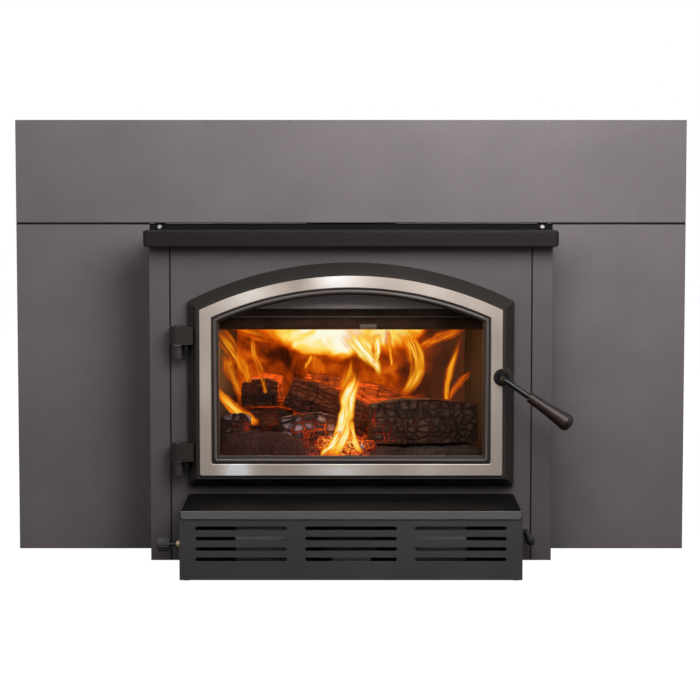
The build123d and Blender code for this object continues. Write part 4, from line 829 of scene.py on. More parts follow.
class StudioSettings(bpy.types.PropertyGroup):
    """Camera and studio light."""

    lens: bpy.props.FloatProperty(
        name="Lens", description="Focal length on a 36 mm frame, in mm",
        unit="CAMERA", default=102.7,
    )
    key_power: bpy.props.FloatProperty(
        name="Key light", description="Power shared by the two lamps over the object",
        unit="POWER", default=67.0,
    )
    ambient: bpy.props.FloatProperty(
        name="Room light", description="Level of the even light from all sides",
        subtype="FACTOR", default=0.07,
    )


# ---------------------------------------------------------------- studio
FILM_WIDTH = 36.0  # mm
CAMERA_PLACE = (0.0002, -3.3595, 0.6608)
CAMERA_SHIFT = (-0.0016, -0.08)
CAMERA_TILT = 3.95  # degrees down
CAMERA_REACH = 50.0
WHITE = (1.0, 1.0, 1.0)
# Round lamps: name, place, radius, share of the key power.
ROUND_LAMPS = (
    ("key", (0.30, -0.86, 1.04), 0.40, 0.77),
    ("side_key", (-0.62, -1.05, 1.06), 0.40, 0.24),
)
# Square lamps: name, place, what it looks at, size, power.
SQUARE_LAMPS = (
    ("right_fill", (1.3, -1.9, 1.0), (0.2, 0.0, 0.35), 1.2, 2.0),
    ("rear", (0.9, 2.2, 1.8), (0.0, 0.2, 0.3), 1.6, 75.0),
)
FLOOR_SIZE = 14.0
FLOOR_DROP = 0.0006
FLOOR_COLOUR = (0.15, 0.15, 0.15)
FLOOR_GLOW = 1.245  # with the floor's share of plain paint, this renders white
FLOOR_GLOW_SHARE = 0.8


class FIREPLACE_OT_studio(bpy.types.Operator):
    """Camera, lamps, white room and floor"""

    bl_idname = "fireplace.studio"
    bl_label = "Studio"

    def execute(self, context):
        settings = context.scene.fireplace_studio
        self.camera(context, settings.lens)
        for name, place, radius, share in ROUND_LAMPS:
            lamp = point_lamp(name, place, radius, WHITE, settings.key_power * share)
            lamp.visible_camera = False
        for lamp in SQUARE_LAMPS:
            self.square_lamp(context, *lamp)
        self.room(context, settings.ambient)
        self.floor()
        return {"FINISHED"}

    def camera(self, context, lens):
        data = bpy.data.cameras.new("camera")
        data.lens = lens
        data.sensor_width = FILM_WIDTH
        data.shift_x, data.shift_y = CAMERA_SHIFT
        data.clip_end = CAMERA_REACH
        camera = bpy.data.objects.new("camera", data)
        camera.location = CAMERA_PLACE
        camera.rotation_euler = (math.radians(90 - CAMERA_TILT), 0, 0)
        context.collection.objects.link(camera)
        context.scene.camera = camera
        context.scene.view_settings.view_transform = "Standard"

    def square_lamp(self, context, name, place, target, size, power):
        data = bpy.data.lights.new(name, "AREA")
        data.size = size
        data.energy = power
        lamp = bpy.data.objects.new(name, data)
        lamp.location = place
        direction = Vector(target) - Vector(place)
        lamp.rotation_euler = direction.to_track_quat("-Z", "Y").to_euler()
        context.collection.objects.link(lamp)

    def room(self, context, ambient):
        """White to the eye, in mirrors and through glass, but dim as a light."""
        room = Painter("white_room", "worlds")
        camera, gloss, through = (
            room.node("ShaderNodeLightPath", output=f"Is {kind} Ray")
            for kind in ("Camera", "Glossy", "Transmission")
        )
        level = camera.highest(gloss).highest(through) * (1 - ambient) + ambient
        inputs = {"Color": WHITE, "Strength": level}
        light = room.node("ShaderNodeBackground", None, inputs)
        context.scene.world = room.finish_with(light, "ShaderNodeOutputWorld")

    def floor(self):
        """Pale floor that keeps the object's shadow."""
        bpy.ops.mesh.primitive_plane_add(size=FLOOR_SIZE, location=(0, 0, -FLOOR_DROP))
        floor = active_piece("studio_floor")
        paint = Painter("studio_floor")
        seen = paint.node("ShaderNodeLightPath", output="Is Camera Ray")
        plain = paint.node("ShaderNodeBsdfDiffuse", None, {"Color": FLOOR_COLOUR})
        glow = {"Color": WHITE, "Strength": FLOOR_GLOW}
        white = paint.node("ShaderNodeEmission", None, glow)
        mixed = {0: seen * FLOOR_GLOW_SHARE, 1: plain, 2: white}
        floor.data.materials.append(
            paint.finish_with(paint.node("ShaderNodeMixShader", None, mixed))
        )


# ---------------------------------------------------------------- pieces of the stove
PANEL_SEAM_SHADE = 0.0019  # half width of the painted shade line between the surround's panels
FACE_SEAM_SHADE = 0.0013  # half width of the painted shade lines beside the face plate
FACE_SEAM_SHADE_DEPTH = 0.004
LID_LIP_HIGHLIGHT = 0.001  # how far the painted highlight on the fan lid's lip reaches back
LEVER_DROP = math.radians(33.8)  # of the handle, as it hangs in the photograph
LEVER_REACH = 0.23


class FIREPLACE_OT_paint(bpy.types.Operator):
    """Finishes of the painted, cast and plated pieces"""

    bl_idname = "fireplace.paint"
    bl_label = "Paint and plate"

    def execute(self, context):
        colours = context.scene.fireplace_colours
        self.sheets(tuple(colours.surround), tuple(colours.body))
        self.castings(tuple(colours.black), tuple(colours.nickel))
        self.fan(tuple(colours.blower))
        self.small_parts()
        return {"FINISHED"}

    def sheets(self, surround, body):
        face_low, face_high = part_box("face_plate")
        panel_seam_shade = (2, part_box("surround_left_panel")[1].z, PANEL_SEAM_SHADE, 0.0)
        face_seam_shade = (0, face_high.x, FACE_SEAM_SHADE, face_low.y + FACE_SEAM_SHADE_DEPTH)
        dress(
            sheet_paint("surround_powder", surround, 0.1, 0.42, panel_seam_shade),
            "surround_top_panel", "surround_left_panel", "surround_right_panel",
        )
        dress(
            sheet_paint("body_paint", body, 0.1, 0.5, face_seam_shade),
            "jacket_left_side", "jacket_right_side", "jacket_back", "base_pan", "face_plate",
        )
        # black paint, darkened further to near black as painted shade for the warm-air gap
        # behind the ledge
        dress(
            sheet_paint("inner_sheet", from_screen(8, 7, 7), roughness=0.7),
            "jacket_top", "surround_hangers",
        )

    def castings(self, black, nickel):
        dress(casting_paint("ledge_casting", from_screen(21, 16, 16)), "ledge")
        dress(casting_paint("door_casting", black), "door_frame")
        dress(casting_paint("collar_casting", from_screen(48, 45, 44)), "flue_collar")
        dress(trim_nickel(nickel), "door_trim")
        dress(
            casting_paint("hinge_black", from_screen(58, 53, 52), 0.4, 0.5, 0.5),
            "hinge_barrels", "hinge_pins", "glass_clips", "latch_cam",
        )

    def fan(self, blower):
        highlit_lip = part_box("blower_lid")[0].y + LID_LIP_HIGHLIGHT
        # painted highlight: the lid's lip gets a light grey over the near-black lid
        lid, lip_highlight = from_screen(12, 12, 12), from_screen(102, 100, 103)
        # painted light: the fan base is made lighter so the inside of the housing, where little
        # light reaches, does not read black
        base, motor = from_screen(120, 118, 120), from_screen(70, 70, 72)
        dress(sheet_paint("fan_cover_enamel", blower, roughness=0.45), "blower_cover")
        dress(edged_paint("fan_lid_enamel", lid, lip_highlight, highlit_lip), "blower_lid")
        dress(sheet_paint("fan_base_sheet", base, roughness=0.5), "blower_base")
        # painted light: the fan sheets are made lighter for the same dim inside of the housing
        dress(
            brushed_metal("fan_sheet", from_screen(150, 150, 152), 0.5),
            "fan_wheels", "scroll_housings",
        )
        dress(sheet_paint("motor_shell", motor, roughness=0.4), "blower_motor")
        dress(moulding("grey_moulding", from_screen(58, 56, 56)), "speed_knob")
        dress(brushed_metal("aged_brass", from_screen(150, 134, 108), 0.4), "knob_collar")
        dress(rubber("black_rubber", from_screen(24, 24, 24)), "blower_feet", "cord_gland")

    def small_parts(self):
        dress(
            brushed_metal("zinc_plate", from_screen(205, 200, 196), 0.28),
            "surround_screws", "surround_bolts", "flue_collar_bolts",
            "glass_clip_screws", "latch_nuts", "hinge_washers",
        )
        dress(
            moulding("blackened_rod", from_screen(14, 12, 12), 0.26),
            "handle_rod", "handle_washer",
        )
        dress(
            brushed_metal("ground_steel", from_screen(205, 203, 200), 0.22),
            "fan_shaft", "air_rod",
        )
        dress(
            moulding("black_moulding", from_screen(30, 28, 28)),
            "speed_control", "air_handle",
        )
        dress(sheet_paint("intake_sheet", from_screen(60, 58, 58)), "air_intake_box")


class FIREPLACE_OT_grip(bpy.types.Operator):
    """Wood grain of the turned grip"""

    bl_idname = "fireplace.grip"
    bl_label = "Grip"

    def execute(self, context):
        stain = tuple(context.scene.fireplace_colours.wood)
        low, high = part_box("handle_grip")
        lever = (math.cos(LEVER_DROP), -LEVER_REACH, -math.sin(LEVER_DROP))
        wood = turned_wood(shade(stain, 0.45), shade(stain, 1.5), lever, tuple((low + high) / 2))
        dress(wood, "handle_grip")
        return {"FINISHED"}


class FIREPLACE_OT_window(bpy.types.Operator):
    """Glass, its tape and the door's rope"""

    bl_idname = "fireplace.window"
    bl_label = "Window"

    def execute(self, context):
        dress(window_glass(from_screen(70, 52, 42)), "door_glass")
        fibre = woven_fibre("gasket_fibre", from_screen(96, 92, 88))
        dress(fibre, "glass_gasket", "door_rope")
        return {"FINISHED"}


class FIREPLACE_OT_bead(bpy.types.Operator):
    """Rounded bead of the door casting between its trim and the window"""

    bl_idname = "fireplace.bead"
    bl_label = "Door bead"

    arch_steps = 48
    round_steps = 4

    def execute(self, context):
        settings = context.scene.fireplace_bead
        path = self.path(settings)
        data = bpy.data.curves.new("door_bead", "CURVE")
        data.dimensions = "3D"
        data.bevel_depth = settings.radius
        data.bevel_resolution = self.round_steps
        spline = data.splines.new("POLY")
        spline.points.add(len(path) - 1)
        for point, spot in zip(spline.points, path):
            point.co = (*spot, 1.0)
        spline.use_cyclic_u = True
        bead = bpy.data.objects.new("door_bead", data)
        context.collection.objects.link(bead)
        select_only(bead)
        bpy.ops.object.convert(target="MESH")
        smooth_under(bead, 50)
        bead = active_piece("door_bead")
        # painted highlight: the door's casting paint made lighter on the bead
        finish = casting_paint("bead_casting", from_screen(80, 73, 70), 0.45, 0.1, 0.35)
        hand_over(bead, finish, "door")
        return {"FINISHED"}

    def path(self, settings):
        """Middle line of the bead: the door's arched outline, moved inwards."""
        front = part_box("door_trim")[0].y + settings.trim_thickness
        door_low, door_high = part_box("door_frame")
        half = settings.door_width / 2
        rise = settings.arch_rise
        outline_radius = (half**2 + rise**2) / (2 * rise)
        centre = door_high.z - outline_radius
        radius = outline_radius - settings.inset
        side = half - settings.inset
        bottom = door_low.z + settings.inset
        corner = settings.corner
        start = math.asin(side / radius)
        outline = [(side - corner, bottom), (side, bottom + corner)]
        for index in range(self.arch_steps + 1):
            angle = start - 2 * start * index / self.arch_steps
            outline.append((radius * math.sin(angle), centre + radius * math.cos(angle)))
        outline += [(-side, bottom + corner), (-side + corner, bottom)]
        return [(across, front, up) for across, up in outline]


class FIREPLACE_OT_firebox(bpy.types.Operator):
    """Plates, bricks, air tubes and deflector inside the firebox"""

    bl_idname = "fireplace.firebox"
    bl_label = "Firebox"

    # Painted highlights, middle and half width across, middle and half height: on the tube a
    # reflection of the fire's glow, on the baffle a bright edge.
    tube_glint = ((0.0285, 0.0115), (0.3795, 0.004))
    baffle_glint = ((0.0, 0.2), (0.3955, 0.0011))

    def execute(self, context):
        dress(
            casting_paint("sooty_plate", from_screen(34, 26, 22), 0.8, specular=0.08),
            "firebox_floor", "firebox_left_wall", "firebox_right_wall",
            "firebox_back_wall", "firebox_top_plate", "air_channels",
        )
        # painted light: the deflector is painted much lighter than its grey steel so it stays
        # bright in the shade of the door
        dress(
            sheet_paint("deflector_sheet", from_screen(186, 174, 176), roughness=0.55),
            "airwash_deflector",
        )
        dress(edge_lit("sooty_tube", from_screen(88, 64, 52), *self.tube_glint), "air_tubes")
        dress(
            refractory("firebrick", from_screen(40, 26, 18), from_screen(18, 14, 12)),
            "side_bricks", "back_bricks", "floor_bricks",
        )
        dress(
            edge_lit("baffle_fibre", from_screen(88, 80, 74), *self.baffle_glint),
            "baffle_boards",
        )
        return {"FINISHED"}


# ---------------------------------------------------------------- firewood
# Burning wood: name, screen colours of char, ash and bare wood, shares, blocks.
WOODS = {
    "front": (
        "greyed_char", ((28, 19, 15), (96, 76, 64), (104, 66, 42)),
        (0.7, 0.3, 0.8, 1.0), (66.0, 78.0, 78.0),
    ),
    "ashy": (
        "ashy_char", ((28, 18, 16), (158, 132, 138), (120, 80, 56)),
        (0.9, 0.1, 0.75, 1.0), (52.0, 66.0, 66.0),
    ),
    "dark": (
        "dark_char", ((24, 13, 9), (110, 84, 76), (110, 52, 24)),
        (0.3, 0.35, 0.6, 0.7), (38.0, 120.0, 120.0),
    ),
    # painted light: the bare wood's orange is partly its own colour and partly the fire's light
    # on it
    "bare": (
        "fire_lit_scorched_wood", ((60, 28, 14), (130, 96, 74), (204, 104, 42)),
        (0.1, 0.95, 0.3, 0.25), (30.0, 130.0, 130.0),
    ),
}
COALS_WOOD = (
    "burning_coals", ((44, 18, 12), (120, 84, 72), (120, 50, 26)),
    (0.3, 0.3, 1.5, 1.0), (95.0, 120.0, 120.0),
)
BACK_ROW = 0.08  # setback past which logs lie at the back
MIDDLE_ROW = 0.01
RIGHT_SIDE = 0.05
LEANING = 0.1  # rise along a log that leans on another
SHORT_LOG = 0.13  # a log shorter than this has its grain across the object
ACROSS = 0.8  # share of an edge's length that lies across, to be along a log
# Cracks: metres between them, how wavy, how deep and half width.
CROSS_CRACKS = (0.029, 0.55, 1.0, 0.05)
LONG_CRACKS = (0.026, 0.5, 0.8, 0.06)
FIBRE_RELIEF = 0.0007
LUMP_RELIEF = 0.0016
# Where heat is greatest, and how far it reaches; across the flames it is painted light on the
# logs' up-facing faces.
COALS_ACROSS = (-0.03, 0.13)
COALS_UP = (0.18, 0.06)
FLAME_LIGHT_ACROSS = (-0.01, 0.2)


class FIREPLACE_OT_firewood(bpy.types.Operator):
    """Split logs with cracked char, standing for the plain ones"""

    bl_idname = "fireplace.firewood"
    bl_label = "Firewood"

    def execute(self, context):
        settings = context.scene.fireplace_fire
        finishes = {kind: charred_wood(*wood) for kind, wood in WOODS.items()}
        copy_of_node("split_logs", "split_wood")
        bpy.ops.object.mode_set(mode="EDIT")
        bpy.ops.mesh.separate(type="LOOSE")
        bpy.ops.object.mode_set(mode="OBJECT")
        pieces = list(context.selected_objects)
        pieces.sort(key=lambda item: tuple(round(value, 3) for value in middle_of(item)))
        for index, piece in enumerate(pieces):
            centre = middle_of(piece)
            way = self.grain_way(piece)
            self.refine(piece, settings.wood_grain)
            self.char(piece, centre, way, settings.char_depth, index)
            smooth_under(piece, 50)
            name_both(piece, f"burning_log_{index + 1}")
            finish = finishes[self.kind_of(centre, way)]
            hand_over(piece, finish, "stove", "split_logs")
        return {"FINISHED"}

    def kind_of(self, centre, way):
        """How far a log has burnt, by where it lies and how it leans."""
        if centre.y > BACK_ROW:
            return "bare"
        if abs(way.z) > LEANING or centre.y > MIDDLE_ROW:
            return "dark"
        return "front" if centre.x > RIGHT_SIDE else "ashy"

    def grain_way(self, piece):
        """Direction of the wood's grain: that of a long log's longest edge."""
        spots = [vertex.co for vertex in piece.data.vertices]
        if max(spot.x for spot in spots) - min(spot.x for spot in spots) < SHORT_LOG:
            return Vector((1, 0, 0))
        edges = [
            spots[edge.vertices[1]] - spots[edge.vertices[0]] for edge in piece.data.edges
        ]
        flat = [edge for edge in edges if abs(edge.normalized().x) > ACROSS]
        way = max(flat, key=lambda edge: edge.length).normalized()
        return way if way.x > 0 else -way

    def refine(self, piece, grain):
        add_modifier(piece, "REMESH", "grid", mode="VOXEL", voxel_size=grain)
        add_modifier(piece, "SMOOTH", "worn_edges", factor=0.5, iterations=7)
        apply_all(piece)

    def char(self, piece, centre, way, depth, seed):
        """Cracks along and across the grain, and what they hold for the paint."""
        side = Vector((0, 0, 1)).cross(way).normalized()
        up = way.cross(side)
        mesh = piece.data
        jump = Vector((seed * 0.37, seed * 0.21, seed * 0.13))
        normals = [vertex.normal.copy() for vertex in mesh.vertices]
        woods = []
        burns = []
        shaped = []
        for vertex, normal in zip(mesh.vertices, normals):
            offset = vertex.co - centre
            own = Vector((offset.dot(way), offset.dot(side), offset.dot(up)))
            lumps = noise.noise(own * 24 + jump)
            fibres = noise.noise(Vector((own.x * 18, own.y * 150, own.z * 150)) + jump)
            flat = own.z if abs(normal.dot(side)) > 0.6 else own.y
            cross = self.crack(own.x, noise.noise(own * 30 - jump), *CROSS_CRACKS)
            long = self.crack(flat, noise.noise(own * 16 + jump * 2), *LONG_CRACKS)
            crack = max(0.0, cross, long)
            wear = FIBRE_RELIEF * (fibres + 1) + LUMP_RELIEF * (lumps + 1)
            spot = vertex.co - normal * (depth * crack + wear)
            # ridges on up-facing faces glow more: partly ember glow, partly painted light of the
            # flames above
            ridge = max(0.0, normal.z) * (0.5 + 0.5 * fibres)
            heat = self.heat(spot, normal) * (0.5 + noise.noise(spot * 26 + jump))
            shaped.extend(spot)
            woods.extend(own + jump)
            burns.extend((crack, ridge, max(0.0, min(1.0, heat))))
        wood = mesh.attributes.new("wood", "FLOAT_VECTOR", "POINT")
        wood.data.foreach_set("vector", woods)
        burn = mesh.attributes.new("burn", "FLOAT_VECTOR", "POINT")
        burn.data.foreach_set("vector", burns)
        mesh.vertices.foreach_set("co", shaped)
        mesh.update()

    def crack(self, place, wave, spacing, wavy, deepest, half):
        """How far into a crack this place is: deepest in its middle."""
        turns = place / spacing + wavy * wave
        return deepest - abs(turns - round(turns)) / half

    def heat(self, spot, normal):
        """Heat from the coals in the middle, and painted light of the fire on the log's
        up-facing faces.
        """
        hottest, reach = COALS_UP
        low = max(0.0, 1 - (spot.z - hottest) / reach)
        # painted light: up-facing faces under the flames glow as if lit by them
        top = max(0.0, normal.z) * bell(spot.x, *FLAME_LIGHT_ACROSS)
        return bell(spot.x, *COALS_ACROSS) * (0.3 + 0.75 * low) + 0.8 * top


# ---------------------------------------------------------------- embers
ASH_GRAIN = 0.0036
ASH_LUMPS = 0.0035
ASH_HEAT = (-0.015, 0.045)  # where the ash glows across, and how far
BANK_HEIGHT = 0.030
BANK_ACROSS = (-0.15, 0.075, 4)  # middle, reach and sharpness
BANK_SETBACK = (-0.078, 0.022)
BED_FOOT = 0.05  # share of the bed's height that keeps its shape
COAL_SEED = 11
COAL_COUNT = 34
COAL_SIZES = (0.006, 0.015)
COAL_MIDDLE = -0.014
COAL_SPREAD = 0.030
COAL_SETBACKS = (-0.082, -0.056)
COAL_FLOOR = 0.1775
COAL_HEAT_REACH = 0.05
CHIP_PLACE = (0.0173, -0.096, 0.1835)
CHIP_RADIUS = 0.0055


class FIREPLACE_OT_embers(bpy.types.Operator):
    """Bed of ash with a bank at the front left, and glowing coals"""

    bl_idname = "fireplace.embers"
    bl_label = "Ember bed"

    def execute(self, context):
        self.bed()
        self.coals()
        self.chip()
        return {"FINISHED"}

    def bed(self):
        piece = copy_of_node("ember_bed", "ash_bed")
        add_modifier(piece, "REMESH", "grid", mode="VOXEL", voxel_size=ASH_GRAIN)
        apply_all(piece)
        low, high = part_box("ember_bed")
        burn = piece.data.attributes.new("burn", "FLOAT_VECTOR", "POINT")
        for index, vertex in enumerate(piece.data.vertices):
            spot = vertex.co
            rise = (spot.z - low.z) / (high.z - low.z)
            coals = bell(spot.x, *ASH_HEAT)
            if rise > BED_FOOT:
                lumps = noise.fractal(spot * 70.0, 1.0, 2.0, 4)
                bank = bell(spot.x, *BANK_ACROSS) * bell(spot.y, *BANK_SETBACK)
                spot.z += rise * (ASH_LUMPS * (lumps - 1) + BANK_HEIGHT * bank)
                coals += 0.16 * bank
            burn.data[index].vector = (0, 0, min(1.0, coals))
        piece.data.update()
        smooth_under(piece, 60)
        finish = ash_and_coals(from_screen(66, 50, 45), from_screen(24, 16, 13))
        hand_over(piece, finish, "stove", "ember_bed")

    def chip(self):
        """White-hot ash chip on the coals."""
        middle = Vector(CHIP_PLACE)
        bpy.ops.mesh.primitive_ico_sphere_add(
            subdivisions=3, radius=CHIP_RADIUS, location=middle
        )
        piece = active_piece("ash_chip")
        for vertex in piece.data.vertices:
            offset = vertex.co - middle
            rough = 0.8 + 0.5 * noise.noise(vertex.co * 260)
            vertex.co = middle + Vector((offset.x * 0.8, offset.y * 0.7, offset.z)) * rough
        piece.data.attributes.new("burn", "FLOAT_VECTOR", "POINT")
        finish = ash_and_coals(from_screen(226, 206, 196), from_screen(150, 112, 92))
        hand_over(piece, finish, "stove")

    def coals(self):
        """Broken glowing coals between the front logs."""
        chance = random.Random(COAL_SEED)
        pieces = [self.coal(chance) for _ in range(COAL_COUNT)]
        for coal in pieces:
            coal.select_set(True)
        bpy.context.view_layer.objects.active = pieces[0]
        bpy.ops.object.join()
        heap = active_piece("glowing_coals")
        wood = heap.data.attributes.new("wood", "FLOAT_VECTOR", "POINT")
        burn = heap.data.attributes.new("burn", "FLOAT_VECTOR", "POINT")
        for index, vertex in enumerate(heap.data.vertices):
            spot = vertex.co
            ridge = 0.8 * (noise.noise(spot * 90) + 0.9)
            heat = bell(spot.x, COAL_MIDDLE, COAL_HEAT_REACH)
            wood.data[index].vector = spot
            burn.data[index].vector = (0, ridge, heat)
        hand_over(heap, charred_wood(*COALS_WOOD), "stove")

    def coal(self, chance):
        size = chance.uniform(*COAL_SIZES)
        centre = Vector(
            (
                chance.gauss(COAL_MIDDLE, COAL_SPREAD),
                chance.uniform(*COAL_SETBACKS),
                COAL_FLOOR + size * chance.uniform(0.0, 0.7),
            )
        )
        bpy.ops.mesh.primitive_ico_sphere_add(subdivisions=3, radius=size, location=centre)
        coal = active_piece("coal")
        for vertex in coal.data.vertices:
            offset = vertex.co - centre
            near = noise.voronoi(vertex.co * 160)[0]
            rough = 0.74 + 0.4 * near[0] + 0.2 * noise.noise(vertex.co * 300)
            vertex.co = centre + Vector((offset.x, offset.y, offset.z * 0.8)) * rough
        return coal


# ---------------------------------------------------------------- flames
# Each tongue: name, heat, cover, threads, softness, then its path as
# (across, setback, height, half width) in metres.
TONGUES = (
    ("flame_left_roof", 0.7, 0.6, 5.0, 0.80,
     ((-0.215, 0.08, 0.372, 0.012), (-0.17, 0.08, 0.360, 0.018),
      (-0.12, 0.08, 0.350, 0.02), (-0.08, 0.08, 0.340, 0.02))),
    ("flame_left_outer", 0.85, 0.66, 5.0, 1.10,
     ((-0.232, 0.02, 0.376, 0.01872), (-0.208, 0.02, 0.345, 0.01872),
      (-0.189, 0.02, 0.316, 0.01584), (-0.176, 0.02, 0.285, 0.01008),
      (-0.168, 0.02, 0.262, 0.00432))),
    ("flame_left_edge", 0.7, 0.5, 3.0, 1.10,
     ((-0.215, 0.05, 0.330, 0.014), (-0.21, 0.05, 0.300, 0.0154),
      (-0.196, 0.05, 0.268, 0.0112), (-0.186, 0.05, 0.240, 0.007))),
    ("flame_left_inner", 0.88, 0.7, 3.0, 1.20,
     ((-0.168, 0.01, 0.376, 0.0072), (-0.165, 0.01, 0.332, 0.0084),
      (-0.153, 0.01, 0.295, 0.0066), (-0.146, 0.01, 0.262, 0.0048),
      (-0.146, 0.01, 0.245, 0.0024))),
    ("flame_low_left", 0.98, 0.9, 4.0, 0.80,
     ((-0.232, -0.03, 0.285, 0.006), (-0.212, -0.03, 0.256, 0.0105),
      (-0.190, -0.03, 0.233, 0.01275), (-0.168, -0.03, 0.220, 0.01125),
      (-0.150, -0.03, 0.214, 0.0045))),
    ("flame_centre", 1.4, 0.95, 6.0, 0.90,
     ((-0.010, 0.05, 0.376, 0.0255), (0.012, 0.05, 0.342, 0.0221),
      (0.030, 0.05, 0.318, 0.017), (0.044, 0.05, 0.300, 0.0102),
      (0.053, 0.05, 0.282, 0.0034))),
    ("flame_centre_branch", 1.3, 0.9, 3.0, 0.80,
     ((0.040, 0.045, 0.362, 0.014), (0.046, 0.045, 0.338, 0.010),
      (0.044, 0.045, 0.318, 0.006), (0.036, 0.045, 0.304, 0.003))),
    ("flame_thin", 0.92, 0.85, 2.0, 0.80,
     ((0.061, 0.05, 0.370, 0.007), (0.064, 0.05, 0.340, 0.007),
      (0.069, 0.05, 0.312, 0.006), (0.070, 0.05, 0.296, 0.002))),
    ("flame_thin_left", 0.98, 0.8, 2.0, 0.80,
     ((-0.066, 0.02, 0.328, 0.004), (-0.072, 0.02, 0.312, 0.004),
      (-0.079, 0.02, 0.298, 0.003))),
    ("flame_right", 1.0, 0.8, 5.0, 1.00,
     ((0.076, 0.04, 0.376, 0.0144), (0.098, 0.04, 0.350, 0.01728),
      (0.110, 0.04, 0.322, 0.01872), (0.112, 0.04, 0.294, 0.01872),
      (0.100, 0.04, 0.266, 0.01224), (0.080, 0.04, 0.246, 0.0036))),
    ("flame_right_arm", 0.75, 0.7, 3.0, 1.00,
     ((0.205, 0.05, 0.372, 0.0085), (0.170, 0.05, 0.358, 0.0119),
      (0.134, 0.05, 0.342, 0.01105), (0.112, 0.05, 0.326, 0.0085))),
    ("flame_far_right", 0.84, 0.75, 3.0, 1.10,
     ((0.186, -0.01, 0.370, 0.00744), (0.178, -0.01, 0.335, 0.00744),
      (0.166, -0.01, 0.300, 0.0093), (0.161, -0.01, 0.268, 0.00806),
      (0.163, -0.01, 0.230, 0.00372), (0.170, -0.01, 0.196, 0.00248),
      (0.184, -0.01, 0.186, 0.00248))),
    ("flame_far_right_arm", 0.7, 0.6, 3.0, 1.00,
     ((0.205, -0.005, 0.300, 0.0042), (0.190, -0.005, 0.286, 0.0084),
      (0.172, -0.005, 0.262, 0.007), (0.164, -0.005, 0.240, 0.0028))),
    ("flame_front_rear", 0.82, 0.6, 3.0, 1.10,
     ((0.000, -0.058, 0.330, 0.008), (-0.002, -0.058, 0.300, 0.014),
      (-0.010, -0.058, 0.265, 0.015), (-0.010, -0.058, 0.235, 0.012))),
    ("flame_front", 1.5, 1.0, 3.0, 0.50,
     ((0.010, -0.092, 0.312, 0.006), (0.006, -0.092, 0.288, 0.010),
      (-0.006, -0.092, 0.262, 0.015), (-0.008, -0.093, 0.236, 0.016),
      (-0.014, -0.094, 0.208, 0.015), (-0.026, -0.096, 0.182, 0.014),
      (-0.036, -0.097, 0.162, 0.012))),
    ("flame_front_left", 1.3, 1.0, 3.0, 0.60,
     ((-0.016, -0.098, 0.214, 0.006), (-0.026, -0.098, 0.194, 0.008),
      (-0.040, -0.098, 0.178, 0.007), (-0.052, -0.098, 0.166, 0.004))),
    ("flame_front_right", 1.25, 1.0, 3.0, 0.60,
     ((0.000, -0.098, 0.232, 0.006), (0.002, -0.098, 0.210, 0.007),
      (0.008, -0.098, 0.188, 0.006), (0.020, -0.098, 0.170, 0.004))),
)
FLAME_SKIN = 0.0006  # thickness of a flame's sheet
FLAME_SEEDS = (1.3, 3.7)  # the first tongue's seed, and the step to the next
# Upright sheets: name, finish, sides, levels, setback and depth of its waves.
CURTAINS = (
    ("flame_crown", crown_finish, (-0.185, 0.145), (0.292, 0.378), 0.062, 0.018),
    ("fire_haze", haze_finish, (-0.222, 0.222), (0.176, 0.392), 0.160, 0.01),
)


class FIREPLACE_OT_flames(bpy.types.Operator):
    """Flame tongues over the logs, the fire's crown and the haze behind"""

    bl_idname = "fireplace.flames"
    bl_label = "Flames"

    def execute(self, context):
        first, step = FLAME_SEEDS
        for index, (name, *look, path) in enumerate(TONGUES):
            piece = self.tongue(name, path, index)
            finish = flame_finish(name, index * step + first, *look)
            hand_over(piece, finish, "stove")
        for name, finish, *shape in CURTAINS:
            hand_over(self.curtain(name, *shape), finish(name), "stove")
        return {"FINISHED"}

    def sheet(self, name, rows, columns):
        bpy.ops.mesh.primitive_grid_add(
            x_subdivisions=columns, y_subdivisions=rows, size=1, calc_uvs=True
        )
        return active_piece(name)

    def thicken(self, piece):
        piece.data.update()
        add_modifier(piece, "SOLIDIFY", "skin", thickness=FLAME_SKIN, offset=0)
        apply_all(piece)
        bpy.ops.object.shade_smooth()
        return piece

    def curtain(self, name, sides, levels, setback, wave):
        """Upright wavy sheet across the firebox."""
        piece = self.sheet(name, rows=16, columns=40)
        for vertex in piece.data.vertices:
            across = vertex.co.x + 0.5
            up = vertex.co.y + 0.5
            ripple = noise.noise(Vector((across * 4.0, up * 2.0, setback * 50)))
            vertex.co = (
                sides[0] + (sides[1] - sides[0]) * across,
                setback + wave * ripple,
                levels[0] + (levels[1] - levels[0]) * up,
            )
        return self.thicken(piece)

    def tongue(self, name, path, seed):
        """A curved sheet that follows the path, as wide as it says."""
        piece = self.sheet(name, rows=40, columns=10)
        points = [Vector(spot[:3]) for spot in path]
        widths = [spot[3] for spot in path]
        for vertex in piece.data.vertices:
            across = vertex.co.x * 2
            along = vertex.co.y + 0.5
            centre, tangent, half = self.on_path(points, widths, along)
            side = tangent.cross(Vector((0, 1, 0))).normalized()
            ripple = noise.noise(Vector((across * 1.3, along * 3.1, seed * 5.0)))
            cup = 0.3 * half * (1 - across * across)
            spot = centre + side * (across * half)
            spot.y -= cup + ripple * half * 0.3
            vertex.co = spot
        return self.thicken(piece)

    def on_path(self, points, widths, along):
        """Place, direction and half width at this share of the path."""
        spans = len(points) - 1
        index = min(int(along * spans), spans - 1)
        part = along * spans - index
        before = points[max(index - 1, 0)]
        first = points[index]
        last = points[index + 1]
        after = points[min(index + 2, spans)]
        bend = 2 * before - 5 * first + 4 * last - after
        twist = 3 * first - before - 3 * last + after
        rise = last - before
        centre = 0.5 * (2 * first + rise * part + bend * part**2 + twist * part**3)
        tangent = 0.5 * (rise + 2 * bend * part + 3 * twist * part**2)
        half = widths[index] * (1 - part) + widths[index + 1] * part
        return centre, tangent.normalized(), half


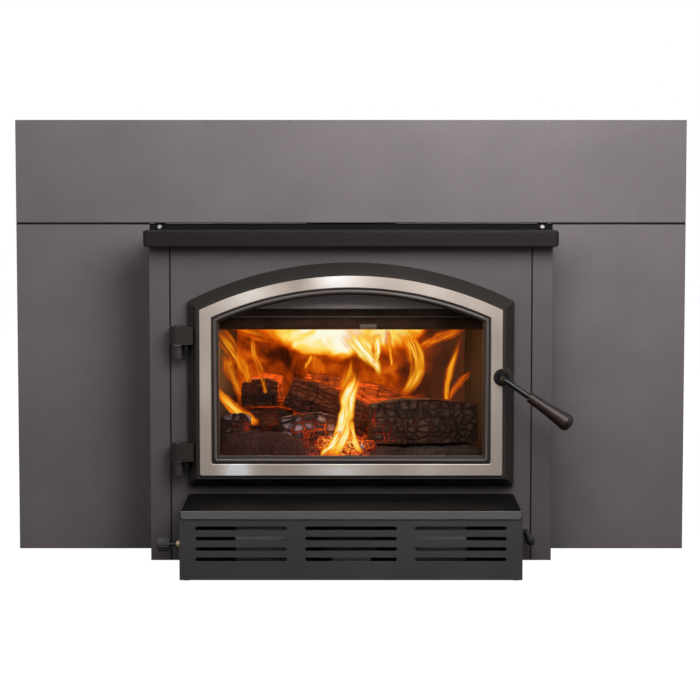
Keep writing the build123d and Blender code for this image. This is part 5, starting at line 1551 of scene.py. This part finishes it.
# Warm lamps in the firebox: name, place, share of the glow's power.
GLOWS = (
    ("glow_crown", (0.0, -0.01, 0.345), 1.6),
    ("glow_left", (-0.17, 0.05, 0.30), 0.7),
    ("glow_right", (0.11, 0.06, 0.30), 0.5),
    ("glow_back", (0.0, 0.20, 0.30), 0.9),
    ("glow_coals", (-0.02, -0.07, 0.20), 0.25),
)
GLOW_RADIUS = 0.04
GLOW_COLOUR = (1.0, 0.42, 0.10)


class FIREPLACE_OT_glow(bpy.types.Operator):
    """Warm light that the fire gives inside the firebox"""

    bl_idname = "fireplace.glow"
    bl_label = "Fire glow"

    def execute(self, context):
        power = context.scene.fireplace_fire.glow_power
        for name, place, share in GLOWS:
            point_lamp(name, place, GLOW_RADIUS, GLOW_COLOUR, power * share)
        return {"FINISHED"}


# ---------------------------------------------------------------- add-on
SETTINGS = {
    "fireplace_colours": StoveColours,
    "fireplace_bead": BeadSettings,
    "fireplace_fire": FireSettings,
    "fireplace_studio": StudioSettings,
}
OPERATORS = (
    FIREPLACE_OT_studio,
    FIREPLACE_OT_paint,
    FIREPLACE_OT_grip,
    FIREPLACE_OT_window,
    FIREPLACE_OT_bead,
    FIREPLACE_OT_firebox,
    FIREPLACE_OT_firewood,
    FIREPLACE_OT_embers,
    FIREPLACE_OT_flames,
    FIREPLACE_OT_glow,
)


class FIREPLACE_PT_panel(bpy.types.Panel):
    """Sidebar panel with the settings and the steps in order"""

    bl_label = "Fireplace insert"
    bl_idname = "FIREPLACE_PT_panel"
    bl_space_type = "VIEW_3D"
    bl_region_type = "UI"
    bl_category = "Fireplace"

    def draw(self, context):
        layout = self.layout
        for group in SETTINGS:
            settings = getattr(context.scene, group)
            box = layout.box()
            for name in settings.__annotations__:
                box.prop(settings, name)
        for operator in OPERATORS:
            layout.operator(operator.bl_idname)


CLASSES = (*SETTINGS.values(), *OPERATORS, FIREPLACE_PT_panel)


def register():
    for made in CLASSES:
        bpy.utils.register_class(made)
    for name, group in SETTINGS.items():
        setattr(bpy.types.Scene, name, bpy.props.PointerProperty(type=group))


def unregister():
    for name in SETTINGS:
        delattr(bpy.types.Scene, name)
    for made in reversed(CLASSES):
        bpy.utils.unregister_class(made)


def main():
    register()
    for operator in OPERATORS:
        group, step = operator.bl_idname.split(".")
        getattr(getattr(bpy.ops, group), step)()


if __name__ == "__main__":
    main()
